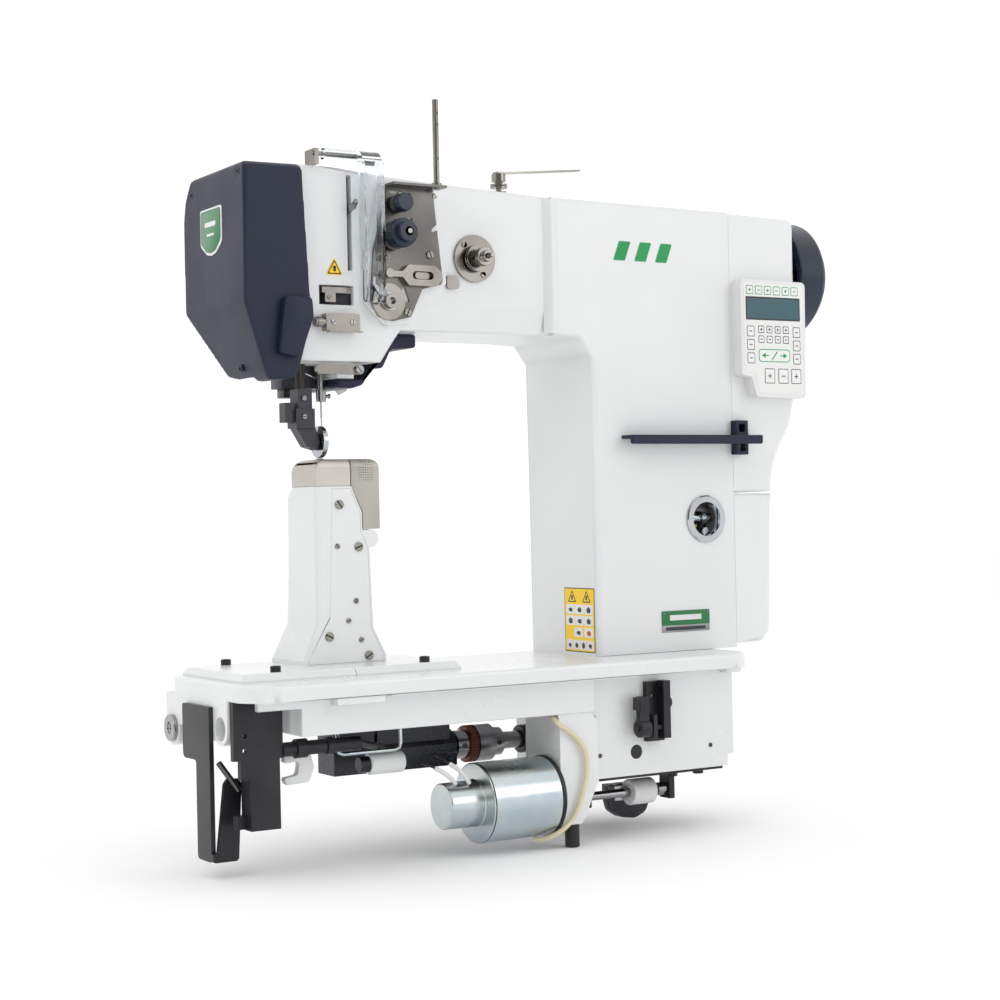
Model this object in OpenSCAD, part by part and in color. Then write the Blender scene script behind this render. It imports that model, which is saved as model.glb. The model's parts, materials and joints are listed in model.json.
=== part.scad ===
// Post-bed leather sewing machine head, in millimetres, +Z up.
// The origin lies under the front rim of the bed, halfway along it.
// Bed coordinates, used inside the modules: X from the bed's left end,
// Y from its front edge and Z up from its top face.

/* [Bed] */
// Length of the bed slab
bed_l = 517; // [500:1:560]
// Width of the bed slab
bed_w = 178; // [176:1:190]
// Thickness of the bed slab
bed_t = 14; // [12:0.5:16]
// Corner radius of the bed slab
bed_r = 30; // [15:1:34]
// Width of the rim strip in front of the skirt
rim_w = 12; // [10:0.5:14]
// Depth of the front skirt below the slab's top
skirt_z = -44; // [-50:1:-38]

/* [Post] */
// Height of the work surface above the bed
post_h = 185; // [183:0.5:188]
// Front face of the post
post_y = 90; // [89:0.5:91]

/* [Arm and column] */
// Front face of the column
col_y = 63.6; // [62:0.2:65]
// Back face of the column
col_back = 177; // [174:0.5:178]
// Left face of the column
col_x = 380; // [375:1:385]
// Joint between the casting and the side covers
col_right = 543; // [541:0.5:545]
// Front face of the arm and head
arm_y = 68; // [67:0.5:70]
// Back face of the arm and head
arm_back = 170; // [168:0.5:172]
// Underside of the arm
arm_z = 296; // [292:1:300]
// Wall thickness of the casting
wall = 8; // [6:0.5:9]

/* [Drive] */
// Radius of the upper and lower shafts
shaft_r = 8; // [7:0.5:8]
// Radial clearance of a running fit
run = 0.05; // [0.02:0.01:0.08]
// Radius of the handwheel
wheel_r = 57.5; // [52:0.5:60]
// Radius of the belt pulleys
pulley_r = 19; // [16:0.5:20]

/* [Sewing parts] */
// Radius of the needle bar
needle_bar_r = 3.6; // [3.3:0.1:4]
// Radius of the presser bar
presser_bar_r = 4.5; // [4:0.1:5]
// Radius of the roller foot
roller_r = 14; // [12:0.5:15]
// Radius of the feed wheel
feed_r = 16; // [14:0.5:16]
// Radius of the rotary hook
hook_r = 15.5; // [14:0.5:15.5]

/* [Hidden] */
$fn = 48;
eps = 0.01;
pad_t = 0.5;
gap = 0.3;
shaft_y = 118;
upper_z = 365;
lower_z = -76;
needle_x = 129.5;
needle_y = 120;
roller_x = 122.2;
roller_y = 110;
presser_x = 105;
presser_y = 110;
hook_x = 147;
belt_x = 462;
belt_w = 16;
belt_t = 2;
plate_z = 7;
pivot_z = 115;
pivot_x = 160;
winder_x = 296;
winder_y = 84;
knob_x = 171;
knob_z = 377;
small_x = 175;
small_z = 404;
disc_x = 258;
disc_z = 362;
reg_x = 165.5;
reg_z = 319.6;
rock_y = 60;
rock_z = -127;
can_y = 36;
can_z = -117;
guard_pin_y = 64;
guard_pin_z = 444;
take_up_y = 104;
take_up_z = 392;
hinge_y = 56;
hinge_z = -37;
plug_y = 158;
plug_z = -44;
plate_screws = [[50, 55], [50, 157], [192, 55], [198, 157]];
WHITE = "#e8e9ea";
NAVY = "#262c45";
NICKEL = "#b8b1a4";
STEEL = "#9b9ea3";
BLACK = "#202329";
ZINC = "#a9b6c2";
NYLON = "#f2f2ee";
CABLE = "#e6dcb8";
// The cable's own points, from the bed's rim down the bracket to the solenoid
cable_route = [
    [299.5, 21, -45.8], [299.7, 16, -48.5], [302, 11, -53], [308, 10, -57],
    [315, 10, -62], [321, 10, -68], [326, 9.5, -76], [328.5, 9.5, -85],
    [328.5, 9.5, -95], [327, 9.5, -105], [323.5, 9.5, -115], [319.5, 9.5, -125],
    [315, 9.5, -133], [309, 9.5, -139.5], [302, 10, -144.5], [295, 13, -149],
    [288, 19, -152.2], [281, 25, -153]
];

// ---- Points and outlines

function unit(v) = v / norm(v);
function turn(a) = a > 180 ? a - 360 : a < -180 ? a + 360 : a;
// Arc that rounds the corner p between its neighbours a and b
function corner(a, p, b, r, n) =
    let (
        u = unit(a - p),
        v = unit(b - p),
        half = acos(max(-1, min(1, u * v))) / 2,
        centre = p + unit(u + v) * r / sin(half),
        first = p + u * r / tan(half) - centre,
        last = p + v * r / tan(half) - centre,
        start = atan2(first[1], first[0]),
        sweep = turn(atan2(last[1], last[0]) - start)
    )
    [for (i = [0:n]) centre + r * [cos(start + sweep * i / n), sin(start + sweep * i / n)]];
// Outline pts with its corners rounded by the radii rs
function rounded(pts, rs, n = 6) =
    let (count = len(pts))
    [for (i = [0:count - 1])
        each (rs[i] > 0
            ? corner(pts[(i + count - 1) % count], pts[i], pts[(i + 1) % count], rs[i], n)
            : [pts[i]])];
function oblong(x0, x1, z0, z1, r) =
    rounded([[x0, z0], [x1, z0], [x1, z1], [x0, z1]], [r, r, r, r]);

// ---- Shapes in bed coordinates

module on_bed() {
    translate([-bed_l / 2, -rim_w / 2, bed_t]) children();
}
module block(x0, x1, y0, y1, z0, z1) {
    translate([x0, y0, z0]) cube([x1 - x0, y1 - y0, z1 - z0]);
}
module slab_xy(pts, z0, z1) {
    translate([0, 0, z0]) linear_extrude(height = z1 - z0) polygon(pts);
}
module slab_xz(pts, y0, y1) {
    translate([0, y1, 0]) rotate([90, 0, 0]) linear_extrude(height = y1 - y0) polygon(pts);
}
module slab_yz(pts, x0, x1) {
    translate([x0, 0, 0]) rotate([90, 0, 90]) linear_extrude(height = x1 - x0) polygon(pts);
}
module rod_x(r, x0, x1, y, z) {
    translate([x0, y, z]) rotate([0, 90, 0]) cylinder(r = r, h = x1 - x0);
}
module rod_y(r, y0, y1, x, z) {
    translate([x, y1, z]) rotate([90, 0, 0]) cylinder(r = r, h = y1 - y0);
}
module rod_z(r, z0, z1, x, y) {
    translate([x, y, z0]) cylinder(r = r, h = z1 - z0);
}

// ---- Bed and post

module bed_boss(y, z, r, x1) {
    rod_x(r, 0, x1, y, z);
    block(0, x1, y - r, y + r, z, -bed_t + pad_t + eps);
}
module bed() color(WHITE) on_bed() difference() {
    union() {
        slab_xy(oblong(0, bed_l, 0, bed_w, bed_r), -bed_t + pad_t, 0);
        for (y = [1, bed_w - rim_w + 1]) {
            block(130, 380, y, y + rim_w - 2, -bed_t, -bed_t + pad_t + eps);
        }
        block(53, 341, rim_w, rim_w + 6, skirt_z, -bed_t + pad_t + eps);
        block(53, 59, rim_w, 150, skirt_z, -bed_t + pad_t + eps);
        block(80, 124, 0.8, rim_w + eps, -19.5, -bed_t + pad_t + eps);
        block(14, 53 + eps, rim_w, rim_w + 6, -21, -bed_t + pad_t + eps);
        block(486, 503, 8, rim_w + 6, -18, -bed_t + pad_t + eps);
        block(59 - eps, 340, 154, 160, skirt_z, -bed_t + pad_t + eps);
        block(0, 6, 70, 146, -40, -bed_t + pad_t + eps);
        bed_boss(plug_y, plug_z, 15, 40);
        bed_boss(hinge_y, hinge_z, 14, 30);
    }
    block(70, 212, 62, 148, -bed_t - eps, eps);
    block(448, 492, 92, 144, -bed_t - eps, eps);
    rod_x(10, -eps, 30 + eps, hinge_y, hinge_z);
    rod_x(11, -eps, 34, plug_y, plug_z);
    for (p = plate_screws) {
        rod_z(2.5 + run, -bed_t - eps, eps, p[0], p[1]);
    }
}

module insert_plate(x0, x1, bevel_left, bevel_right) {
    intersection() {
        slab_xz([[x0, 0], [x1, 0], [x1, 1.5], [x1 - bevel_right, plate_z],
                 [x0 + bevel_left, plate_z], [x0, 1.5]], 42, 166);
        slab_yz([[42, 0], [166, 0], [166, 1.5], [162, plate_z], [46, plate_z], [42, 1.5]],
                x0, x1);
    }
}
module insert_plates() color(WHITE) on_bed() difference() {
    union() {
        insert_plate(13, 118.7, 4, 0);
        insert_plate(119.3, 221, 0, 4);
    }
    rod_z(8, -eps, plate_z + eps, hook_x, shaft_y);
    for (p = plate_screws) {
        rod_z(2.8, -eps, plate_z + eps, p[0], p[1]);
    }
}

// Front view of the post, from its foot to the cap
post_front = [[94, plate_z], [173, plate_z], [173, 13], [161, 37], [159, 108],
              [152, 123], [152, 138], [142, 161], [107, 161], [106.5, 42], [94, 11]];
post_side = [[post_y, plate_z], [157, plate_z], [157, 11], [149, 40], [149, 149],
             [137, 161], [post_y, 161]];
cover_front = [[98, plate_z + gap], [171, plate_z + gap], [171, 13.6], [159.4, 37],
               [157.4, 107.4], [150.6, 122.4], [150.6, 137.6], [141.4, 159], [123, 159],
               [119, 46], [98, 12]];
module post_shell() difference() {
    union() {
        intersection() {
            slab_xz(post_front, post_y, 157);
            slab_yz(post_side, 94, 173);
        }
        rod_y(8, post_y, 130.7, pivot_x, pivot_z);
        block(150, pivot_x, post_y, 130.7, pivot_z - 8, pivot_z + 7.5);
    }
    slab_xz(cover_front, post_y - eps, post_y + 5);
    block(149, 175, 130.7, 137.6, 104, 130);
    block(113, 153, post_y + 5 - eps, 143, plate_z - eps, 118);
    block(114, 133, 93, 131, 117, 161 + eps);
    block(123, 133, post_y + 5 - eps, 131, 117, 150);
    rod_z(5 + run, 117, 165, hook_x, shaft_y);
    rod_z(hook_r + 1, 159.5, 162, hook_x, shaft_y);
}
module post() color(WHITE) on_bed() {
    post_shell();
    rod_y(2, 130.6, 137.7, pivot_x, pivot_z);
}
module post_cover() color(WHITE) on_bed() slab_xz(cover_front, post_y, post_y + 5 - run);

// Nickel cap with the needle hole and the feed wheel's slot in its top
module post_cap() color(NICKEL) on_bed() difference() {
    intersection() {
        slab_xz(rounded([[107, 161], [141.5, 161], [141.5, post_h], [107, post_h]],
                        [0, 0, 0, 12]), post_y, 137);
        slab_yz(rounded([[post_y, 161], [137, 161], [137, post_h], [post_y, post_h]],
                        [0, 0, 7, 7]), 107, 141.5);
    }
    block(110, 142, post_y + 2.5, 134.5, 161 - eps, post_h - 3);
    block(roller_x - 2.6, roller_x + 2.6, roller_y - 12, roller_y + 12, 170, post_h + 1);
    rod_z(1.6, 170, post_h + 1, needle_x, needle_y);
}

// Perforated cover over the hook, hinged at its foot
module hook_cover() color(NICKEL) on_bed() {
    z0 = 123.4;
    difference() {
        union() {
            intersection() {
                slab_xz(rounded([[141.8, post_h], [141.8, 161.5], [152.6, 138.5],
                                 [152.6, z0], [170, z0], [170, post_h]],
                                [0, 0, 0, 0, 0, 8]), post_y, 137);
                slab_yz(rounded([[post_y, z0], [137, z0], [137, post_h], [post_y, post_h]],
                                [0, 0, 7, 7]), 141, 171);
            }
            slab_xz(rounded([[152.6, z0 + 3], [152, pivot_z - 7.5], [168, pivot_z - 7.5],
                             [168, z0 + 3]], [0, 7, 7, 0]), 131, 137);
        }
        slab_xz([[141, post_h - 2.5], [141, 158], [152, 137], [152, 100], [167.5, 100],
                 [167.5, post_h - 2.5]], post_y + 2, 131);
        slab_xz([[141, post_h - 2.5], [141, 158], [154, 137], [154, 127], [167.5, 127],
                 [167.5, post_h - 2.5]], 130, 134.7);
        rod_y(2 + run, 130, 138, pivot_x, pivot_z);
        block(150, 169, 120, 131, 120, z0 + eps);
    }
}

module hook() color(STEEL) on_bed() difference() {
    union() {
        rod_z(hook_r, 164, 180, hook_x, shaft_y);
        rod_z(9, 162.5, 164.5, hook_x, shaft_y);
    }
    rod_z(12.5, 168, 181, hook_x, shaft_y);
    rod_z(5, 160, 168.5, hook_x, shaft_y);
    block(hook_x - 4, hook_x + 4, shaft_y - 20, shaft_y - 11, 170, 176);
}
module hook_shaft() color(STEEL) on_bed() difference() {
    union() {
        rod_z(5, -60, 168, hook_x, shaft_y);
        rod_z(8.2, -64, -54, hook_x, shaft_y);
    }
    rod_z(1.5, 160, 169, hook_x, shaft_y);
}
module feed_wheel() color(STEEL) on_bed() {
    zc = post_h + 1 - feed_r;
    difference() {
        rod_x(feed_r, roller_x - 2, roller_x + 2, roller_y, zc);
        for (i = [0:47]) {
            translate([roller_x, roller_y, zc])
                rotate([i * 7.5, 0, 0])
                    translate([-3, -0.35, feed_r - 0.5]) cube([6, 0.7, 1]);
        }
    }
    rod_x(4, 114.4, 129, roller_y, zc);
}

// ---- Lower drive

module lower_shaft() color(STEEL) on_bed() {
    rod_x(shaft_r, 157, 488, shaft_y, lower_z);
}
module lower_pulley() color(STEEL) on_bed() difference() {
    union() {
        rod_x(pulley_r, belt_x, belt_x + belt_w, shaft_y, lower_z);
        rod_x(14, belt_x + belt_w, belt_x + belt_w + 8, shaft_y, lower_z);
    }
    rod_x(shaft_r, belt_x - 1, belt_x + belt_w + 9, shaft_y, lower_z);
}
module upper_pulley() color(STEEL) on_bed() difference() {
    union() {
        rod_x(pulley_r, belt_x, belt_x + belt_w, shaft_y, upper_z);
        rod_x(14, belt_x + belt_w, belt_x + belt_w + 8, shaft_y, upper_z);
    }
    rod_x(shaft_r, belt_x - 1, belt_x + belt_w + 9, shaft_y, upper_z);
}
module belt_outline(r) {
    rod_x(r, belt_x + 0.5, belt_x + belt_w - 0.5, shaft_y, upper_z);
    rod_x(r, belt_x + 0.5, belt_x + belt_w - 0.5, shaft_y, lower_z);
    block(belt_x + 0.5, belt_x + belt_w - 0.5, shaft_y - r, shaft_y + r, lower_z, upper_z);
}
module timing_belt() color(BLACK) on_bed() difference() {
    belt_outline(pulley_r + gap + belt_t);
    for (shift = [-2, 2]) {
        translate([shift, 0, 0]) belt_outline(pulley_r + gap);
    }
}
module coupling_disc() color(STEEL) on_bed() difference() {
    union() {
        rod_x(17, 275, 292, shaft_y, lower_z);
        rod_x(13, 292, 303, shaft_y, lower_z);
        rod_x(13, 254, 266, shaft_y, lower_z);
        rod_x(10, 266, 275, shaft_y, lower_z);
    }
    rod_x(shaft_r, 253, 304, shaft_y, lower_z);
    rod_z(2.5, lower_z, lower_z + 20, 297, shaft_y);
}
module shaft_bush() color(BLACK) on_bed() difference() {
    union() {
        rod_x(13, 326, 345, shaft_y, lower_z);
        rod_x(11.5, 345 - eps, 356, shaft_y, lower_z);
    }
    rod_x(shaft_r + run, 325, 357, shaft_y, lower_z);
}
module shaft_housing() color(BLACK) on_bed() difference() {
    union() {
        rod_x(16, 164, 250, shaft_y, lower_z);
        block(126, 250, 102, 134, lower_z - 16, lower_z + 4);
        block(126, 166, 102, 134, lower_z - 4, lower_z + 26);
        block(170, 244, 104, 132, lower_z, -40);
        block(164, 250, 98, 154, -44, -40 + eps);
    }
    rod_x(shaft_r + run, 160, 251, shaft_y, lower_z);
    block(130, 162, 105, 131, lower_z - 12, lower_z + 22);
    rod_z(5 + run, -60, -40, hook_x, shaft_y);
}

// ---- Arm, column and covers

arm_left = [[84.5, 434], [91.5, 314], [91.5, 303], [85, 268], [163, 268], [182, arm_z],
            [340, arm_z], [340, 422.5], [172, 430], [128, 434]];
column = [[340, arm_z], [367, arm_z - 1], [col_x, arm_z - 19], [col_x, 0], [col_right, 0],
          [col_right, 421], [340, 422.5]];
pad = [[163, 424], [214, 423], [226, 336], [203, 328], [191, 302], [166, 299],
       [146, 318], [148, 364]];
module arm() color(WHITE) on_bed() difference() {
    union() {
        slab_xz(arm_left, arm_y, arm_back);
        slab_xz(column, col_y, col_back);
        slab_xz(rounded(pad, [3, 3, 6, 6, 8, 8, 10, 8]), arm_y - 7, arm_y + eps);
        block(136, 152, 100, 150, 255.5, 268 + eps);
        rod_z(7.5, 420, 425, winder_x, winder_y);
        block(99, 103, arm_y, 80, 430, 434.5);
    }
    // Head room, open towards the face cover and below
    difference() {
        block(80, 150, arm_y + wall, arm_back - wall, 276, 424);
        block(94, 131, 103, arm_back, 398, 410);
    }
    rod_z(needle_bar_r + run, 260, 412, needle_x, needle_y);
    rod_z(presser_bar_r + run, 260, 412, presser_x, presser_y);
    // Arm and column rooms
    block(162, 362, arm_y + wall, arm_back - wall, arm_z + wall, 414);
    block(345, col_right - wall, col_y + wall, col_back - wall, arm_z + wall, 414);
    block(col_x + wall, col_right - wall, col_y + wall, col_back - wall, -eps, arm_z + 10);
    // Bearings of the upper shaft
    rod_x(shaft_r + run, 140, 170, shaft_y, upper_z);
    rod_x(shaft_r + run, col_right - wall - 1, col_right + 1, shaft_y, upper_z);
    // Slot of the take-up lever
    block(132, 136.5, arm_y - 1, arm_y + wall + 1, 346, 428);
    // Recess behind the thread bracket
    block(104, 137, arm_y - 1, arm_y + 5, 316, 333);
    // Sloping band along the lower edge of the front
    slab_yz([[arm_y - 1, 324], [arm_y - 1, arm_z - 1], [arm_y + 4, arm_z - 1]], 184, 340);
    // Window of the oil sight glass
    rod_y(18, col_y - 1, col_y + wall + 1, 508, 124.7);
}
cover_xz = [[30, 432], [29, 315], [47, 256], [52, 249.5], [74, 252], [78, 259],
            [91, 303], [90, 314], [84, 433]];
cover_yz = [[55, 256], [58, 250], [98, 250], [133, 257], [182, 315], [184, 399],
            [180, 415], [169, 430], [147, 439], [118, 440], [64, 435], [55, 429]];
cover_inner = [[34, 428], [33, 316], [51, 259], [73, 259], [77, 264], [85, 303],
               [84, 428]];
module face_cover() color(NAVY) on_bed() difference() {
    intersection() {
        slab_xz(rounded(cover_xz, [4, 8, 3, 4, 3, 3, 3, 3, 3], 4), 50, 190);
        slab_yz(rounded(cover_yz, [2, 3, 8, 8, 12, 8, 8, 10, 10, 10, 8, 4], 3), 20, 95);
    }
    intersection() {
        slab_xz(cover_inner, 60, 178);
        slab_yz([[60, 260], [98, 256], [131, 262], [176, 318], [178, 408], [172, 418],
                 [140, 430], [64, 428]], 20, 95);
    }
    block(70, 95, 74, 165, 262, 426);
    block(50, 84.6, 84, 150, 248, 264);
    for (p = [[66, 424], [165, 418], [98, 262]]) {
        rod_x(5, 20, p[1] < 300 ? 44 : 30.5, p[0], p[1]);
    }
}

under_pts = [[135, 255], [160, 255.5], [166.5, 267], [184, arm_z], [214, arm_z],
             [214, 284], [189, 282], [180, 265], [169, 265], [160, 250], [150, 247],
             [135, 247]];
module under_cover() color(NAVY) on_bed() slab_xz(under_pts, 97, 168);

module top_cover() color(WHITE) on_bed() slab_xy(oblong(356, 438, 84, 158, 4), 422.6, 425);

module take_up_lever() color(STEEL) on_bed() difference() {
    union() {
        slab_yz([[take_up_y + 5, take_up_z - 4], [take_up_y + 4, take_up_z + 5],
                 [60, 403], [55, 406], [53.5, 402.5], [58, 398]], 133, 135.6);
        rod_x(7, 133, 137.5, take_up_y, take_up_z);
    }
    rod_x(3 + run, 130, 140, take_up_y, take_up_z);
    rod_x(1.1, 130, 140, 56.8, 402.3);
}

// Clear channel that swings up and forward from its pin above the head
module eye_guard() color("#dfe8ee", 0.35) on_bed() difference() {
    union() {
        difference() {
            slab_yz(rounded([[58, 345], [58, 438], [69, 444], [64, 450], [54, 446],
                             [46, 436], [46, 322], [50, 317], [54, 320], [54, 345]],
                            [0, 4, 2, 4, 8, 10, 4, 1, 1, 0]), 139, 157.5);
            slab_yz(rounded([[80, 300], [80, 436], [56, 440], [49, 432], [49, 324],
                             [52, 319], [52, 300]], [0, 0, 6, 8, 3, 0, 0]), 141.2, 155.3);
        }
        rod_x(5, 108, 157.5, guard_pin_y, guard_pin_z);
    }
    rod_x(2 + run, 100, 160, guard_pin_y, guard_pin_z);
}

// ---- Thread path on the head

plate_pts = [[166, 421], [212, 420], [220.7, 340], [219, 336.5], [200, 332], [188, 307],
             [171, 303], [156, 306], [148.5, 320], [152, 364], [165, 408]];
module slot_y(x, z, l, w, tilt) {
    translate([x, 0, z]) rotate([0, tilt, 0]) translate([-x, 0, -z]) {
        block(x - l / 2, x + l / 2, 50, 70, z - w / 2, z + w / 2);
        rod_y(w / 2, 50, 70, x - l / 2, z);
        rod_y(w / 2, 50, 70, x + l / 2, z);
    }
}
module thread_plate() color(NICKEL) on_bed() difference() {
    union() {
        slab_xz(rounded(plate_pts, [2, 2, 2, 2, 3, 4, 3, 6, 8, 4, 4]), 58.8, 61);
        block(166, 219, 45, 61, 419.5, 421.6);
    }
    slot_y(187, 411, 5, 4, -60);
    slot_y(189, 392, 1, 4, 0);
    slot_y(215, 386, 7, 4, -40);
    slot_y(183, 326, 10, 4, 70);
    slot_y(175, 415, 9, 2.5, 0);
    rod_z(2.2, 418, 423, 212, 51);
}
module disc_pair(r, y, x, z) {
    rod_y(r, y + 1.4, y + 3, x, z);
    rod_y(r, y - 1.8, y - 0.2, x, z);
    rod_y(r * 0.62, y - 0.3, y + 1.5, x, z);
}
module tension_discs() color(NICKEL) on_bed() {
    // Main tension
    rod_y(2.2, 26, 58.8, knob_x, knob_z);
    disc_pair(13, 52, knob_x, knob_z);
    rod_y(6, 54.9, 58.8, knob_x, knob_z);
    // Small tension
    rod_y(2.2, 41, 58.8, small_x, small_z);
    disc_pair(8, 52, small_x, small_z);
    rod_y(5, 54.9, 58.8, small_x, small_z);
    // Pre-tension disc on the arm
    rod_y(21, 65, arm_y, disc_x, disc_z);
    rod_y(2.2, 34, 65.1, disc_x, disc_z);
    disc_pair(12, 60, disc_x, disc_z);
    // Regulator disc below the plate
    rod_y(16, 56.5, 58.8, reg_x, reg_z);
    difference() {
        rod_y(6.4, 50, 56.6, reg_x, reg_z);
        rod_y(3, 48, 54, reg_x, reg_z);
    }
    // Bobbin winder tension on the arm's top
    rod_z(7, 425, 427, winder_x, winder_y);
    rod_z(2.5, 426.9, 440, winder_x, winder_y);
    rod_z(8, 430, 431.5, winder_x, winder_y);
    rod_z(8, 432.2, 433.7, winder_x, winder_y);
    rod_z(5, 431, 433, winder_x, winder_y);
    rod_z(6.5, 436, 443, winder_x, winder_y);
    slab_xz([[292, 443.4], [300, 443.4], [384, 452], [384, 453.2], [300, 445], [292, 445]],
            80, 88);
    rod_z(3, 442, 444.5, winder_x, winder_y);
}
module ribbed_knob(r, y0, y1, x, z, count) {
    difference() {
        rod_y(r, y0, y1, x, z);
        for (i = [0:count - 1]) {
            rod_y(0.8, y0 - 1, y1 + 1, x + r * cos(360 * i / count), z + r * sin(360 * i / count));
        }
    }
}
module main_knob() color(NAVY) on_bed() difference() {
    union() {
        ribbed_knob(12.5, 36, 49.5, knob_x, knob_z, 20);
        rod_y(8.5, 29, 36.1, knob_x, knob_z);
    }
    rod_y(2.2 + run, 20, 50, knob_x, knob_z);
}
module small_knob() color(NAVY) on_bed() difference() {
    ribbed_knob(8, 39.5, 49.5, small_x, small_z, 16);
    rod_y(2.2 + run, 30, 50, small_x, small_z);
}
module pre_tension_nut() color(NICKEL) on_bed() difference() {
    union() {
        rod_y(8.5, 46, 52, disc_x, disc_z);
        rod_y(5, 42, 46.1, disc_x, disc_z);
    }
    rod_y(2.2 + run, 30, 60, disc_x, disc_z);
}
module check_spring() color(STEEL) on_bed() difference() {
    union() {
        rod_y(8, 55, 56.2, reg_x, reg_z);
        slab_xz([[reg_x - 7, reg_z], [reg_x - 4, reg_z + 6], [reg_x - 14, reg_z + 15],
                 [reg_x - 13.5, reg_z + 20], [reg_x - 16, reg_z + 20.5],
                 [reg_x - 16.5, reg_z + 14]], 55, 56.2);
    }
    rod_y(6.4 + run, 50, 60, reg_x, reg_z);
}
module thread_guides() color(NICKEL) on_bed() {
    // Hinge pin of the eye guard
    rod_x(2, 98, 159, guard_pin_y, guard_pin_z);
    block(99, 103, 61, 80, 434.5, 448);
    // Slotted guide arm across the plate
    difference() {
        slab_xz(rounded([[158.5, 341], [178, 341], [184, 334], [212, 334], [217, 340],
                         [217, 346], [211, 352], [184, 352], [178, 346], [158.5, 346]],
                        [2, 2, 3, 5, 3, 3, 5, 3, 2, 2]), 53.5, 58.8);
        slot_y(198, 343, 14, 7, 0);
    }
    slab_xz(oblong(191, 205, 340.2, 345.8, 2.7), 55, 58.8);
    rod_y(4, 50.5, 53.6, 164, 343.5);
    // Tab on the arm beside the plate
    slab_xz(oblong(228.5, 241, 334, 346, 3), 64.5, arm_y);
    // Thread bracket over its recess
    block(106, 134, arm_y - 1.8, arm_y + 1, 326, 331);
    block(108, 118, arm_y - 3.5, arm_y + 1, 318, 326);
    block(106, 134, arm_y + 1 - eps, arm_y + 5, 328, 331);
    // Guide block
    slab_xz(oblong(106, 138, 293, 308, 1.5), 59, arm_y);
    rod_x(4, 97, 106.1, 63.5, 300.5);
    rod_x(4.5, 99, 103, 63.5, 300.5);
    block(108, 140, 57.5, 63, 291.8, 293.2);
    // Lower guide under the head
    slab_xz(oblong(104, 150, 257.5, 266, 4), 76, 80);
    rod_y(3.6, 74, 76.1, 144, 261.7);
}
module thread_pin() color(NICKEL) on_bed() difference() {
    union() {
        rod_z(2.7, 421.6, 497, 212, 51);
        rod_z(4.5, 421.6, 424, 212, 51);
        rod_z(2.2, 418.5, 421.7, 212, 51);
    }
    for (z = [445, 475, 485]) {
        rod_y(1.2, 40, 60, 212, z);
    }
}

// ---- Side covers, control panel and rest

side_pts = [[col_right + gap, 150], [591.5, 150], [592.5, 162], [596, 178], [605, 196],
            [617.5, 216], [623, 239], [626, 300], [626, 418.5], [col_right + gap, 420.5]];
module upper_side_cover() color(WHITE) on_bed() difference() {
    slab_xz(rounded(side_pts, [0, 0, 10, 20, 20, 20, 20, 40, 8, 0]), col_y, col_back);
    slab_xz([[540, 140], [588.5, 140], [589.5, 162], [593, 179], [601.5, 197],
             [614, 217], [619.5, 240], [622.5, 300], [622.5, 415], [540, 417]],
            col_y + 3, col_back - 3);
    rod_x(14, 615, 630, shaft_y, upper_z);
}
lower_pts = [[col_right + gap, 4], [577, 4], [586, 14], [591.3, 148.6],
             [col_right + gap, 148.6]];
module lower_side_cover() color(WHITE) on_bed() difference() {
    slab_xz(rounded(lower_pts, [4, 8, 10, 0, 0]), col_y, col_back);
    slab_xz([[540, 7], [576, 7], [583, 15], [588, 150], [540, 150]], col_y + 3, col_back - 3);
}
panel_pts = [[546, 262], [558, 261], [564, 241.5], [625, 240.5], [626.5, 354.5],
             [546, 355.5]];
module control_panel() color("#dcdddc") on_bed() difference() {
    slab_xz(rounded(panel_pts, [3, 2, 4, 5, 5, 5]), 50, col_y);
    slab_xz(oblong(552, 619, 317, 338, 2), 49, 50.8);
}
module hand_rest() color(NAVY) on_bed() {
    block(411, 566, 45, 62.6, 201, 204.5);
    slab_xz(oblong(411, 566, 196, 204.5, 2), 45, 48.5);
    difference() {
        block(541, 556, 55, col_y, 186, 219);
        block(545, 552, 50, 70, 190, 198);
        block(545, 552, 50, 70, 208, 215);
    }
}
module oil_window() color(STEEL) on_bed() difference() {
    union() {
        rod_y(22.5, col_y - 2.5, col_y, 508, 124.7);
        rod_y(17.9, col_y - 0.1, col_y + 3, 508, 124.7);
    }
    difference() {
        rod_y(16, col_y - 3, col_y + 4, 508, 124.7);
        rod_y(16 - run, col_y - 0.5, col_y + 1.5, 508, 124.7);
    }
}

// ---- Upper drive

module handwheel() color(NAVY) on_bed() difference() {
    union() {
        rod_x(wheel_r, 632, 664, shaft_y, upper_z);
        rod_x(wheel_r - 7, 664 - eps, 671, shaft_y, upper_z);
        rod_x(13, 628, 632.1, shaft_y, upper_z);
    }
    difference() {
        rod_x(wheel_r - 8, 640, 660, shaft_y, upper_z);
        rod_x(16, 639, 661, shaft_y, upper_z);
    }
    difference() {
        rod_x(wheel_r - 8, 630, 641, shaft_y, upper_z);
        rod_x(16, 629, 642, shaft_y, upper_z);
    }
    rod_x(shaft_r, 620, 666, shaft_y, upper_z);
}
module upper_shaft() color(STEEL) on_bed() {
    rod_x(shaft_r, 148, 666, shaft_y, upper_z);
    difference() {
        rod_x(20, 138.5, 148.1, shaft_y, upper_z);
        rod_x(21, 143, 147, shaft_y, upper_z);
    }
    rod_x(shaft_r, 143, 148, shaft_y, upper_z);
}
module motor() color(BLACK) on_bed() difference() {
    rod_x(44, col_right, 606, shaft_y, upper_z);
    rod_x(shaft_r + 2, 540, 610, shaft_y, upper_z);
}

// ---- Needle, presser and hook side

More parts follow.
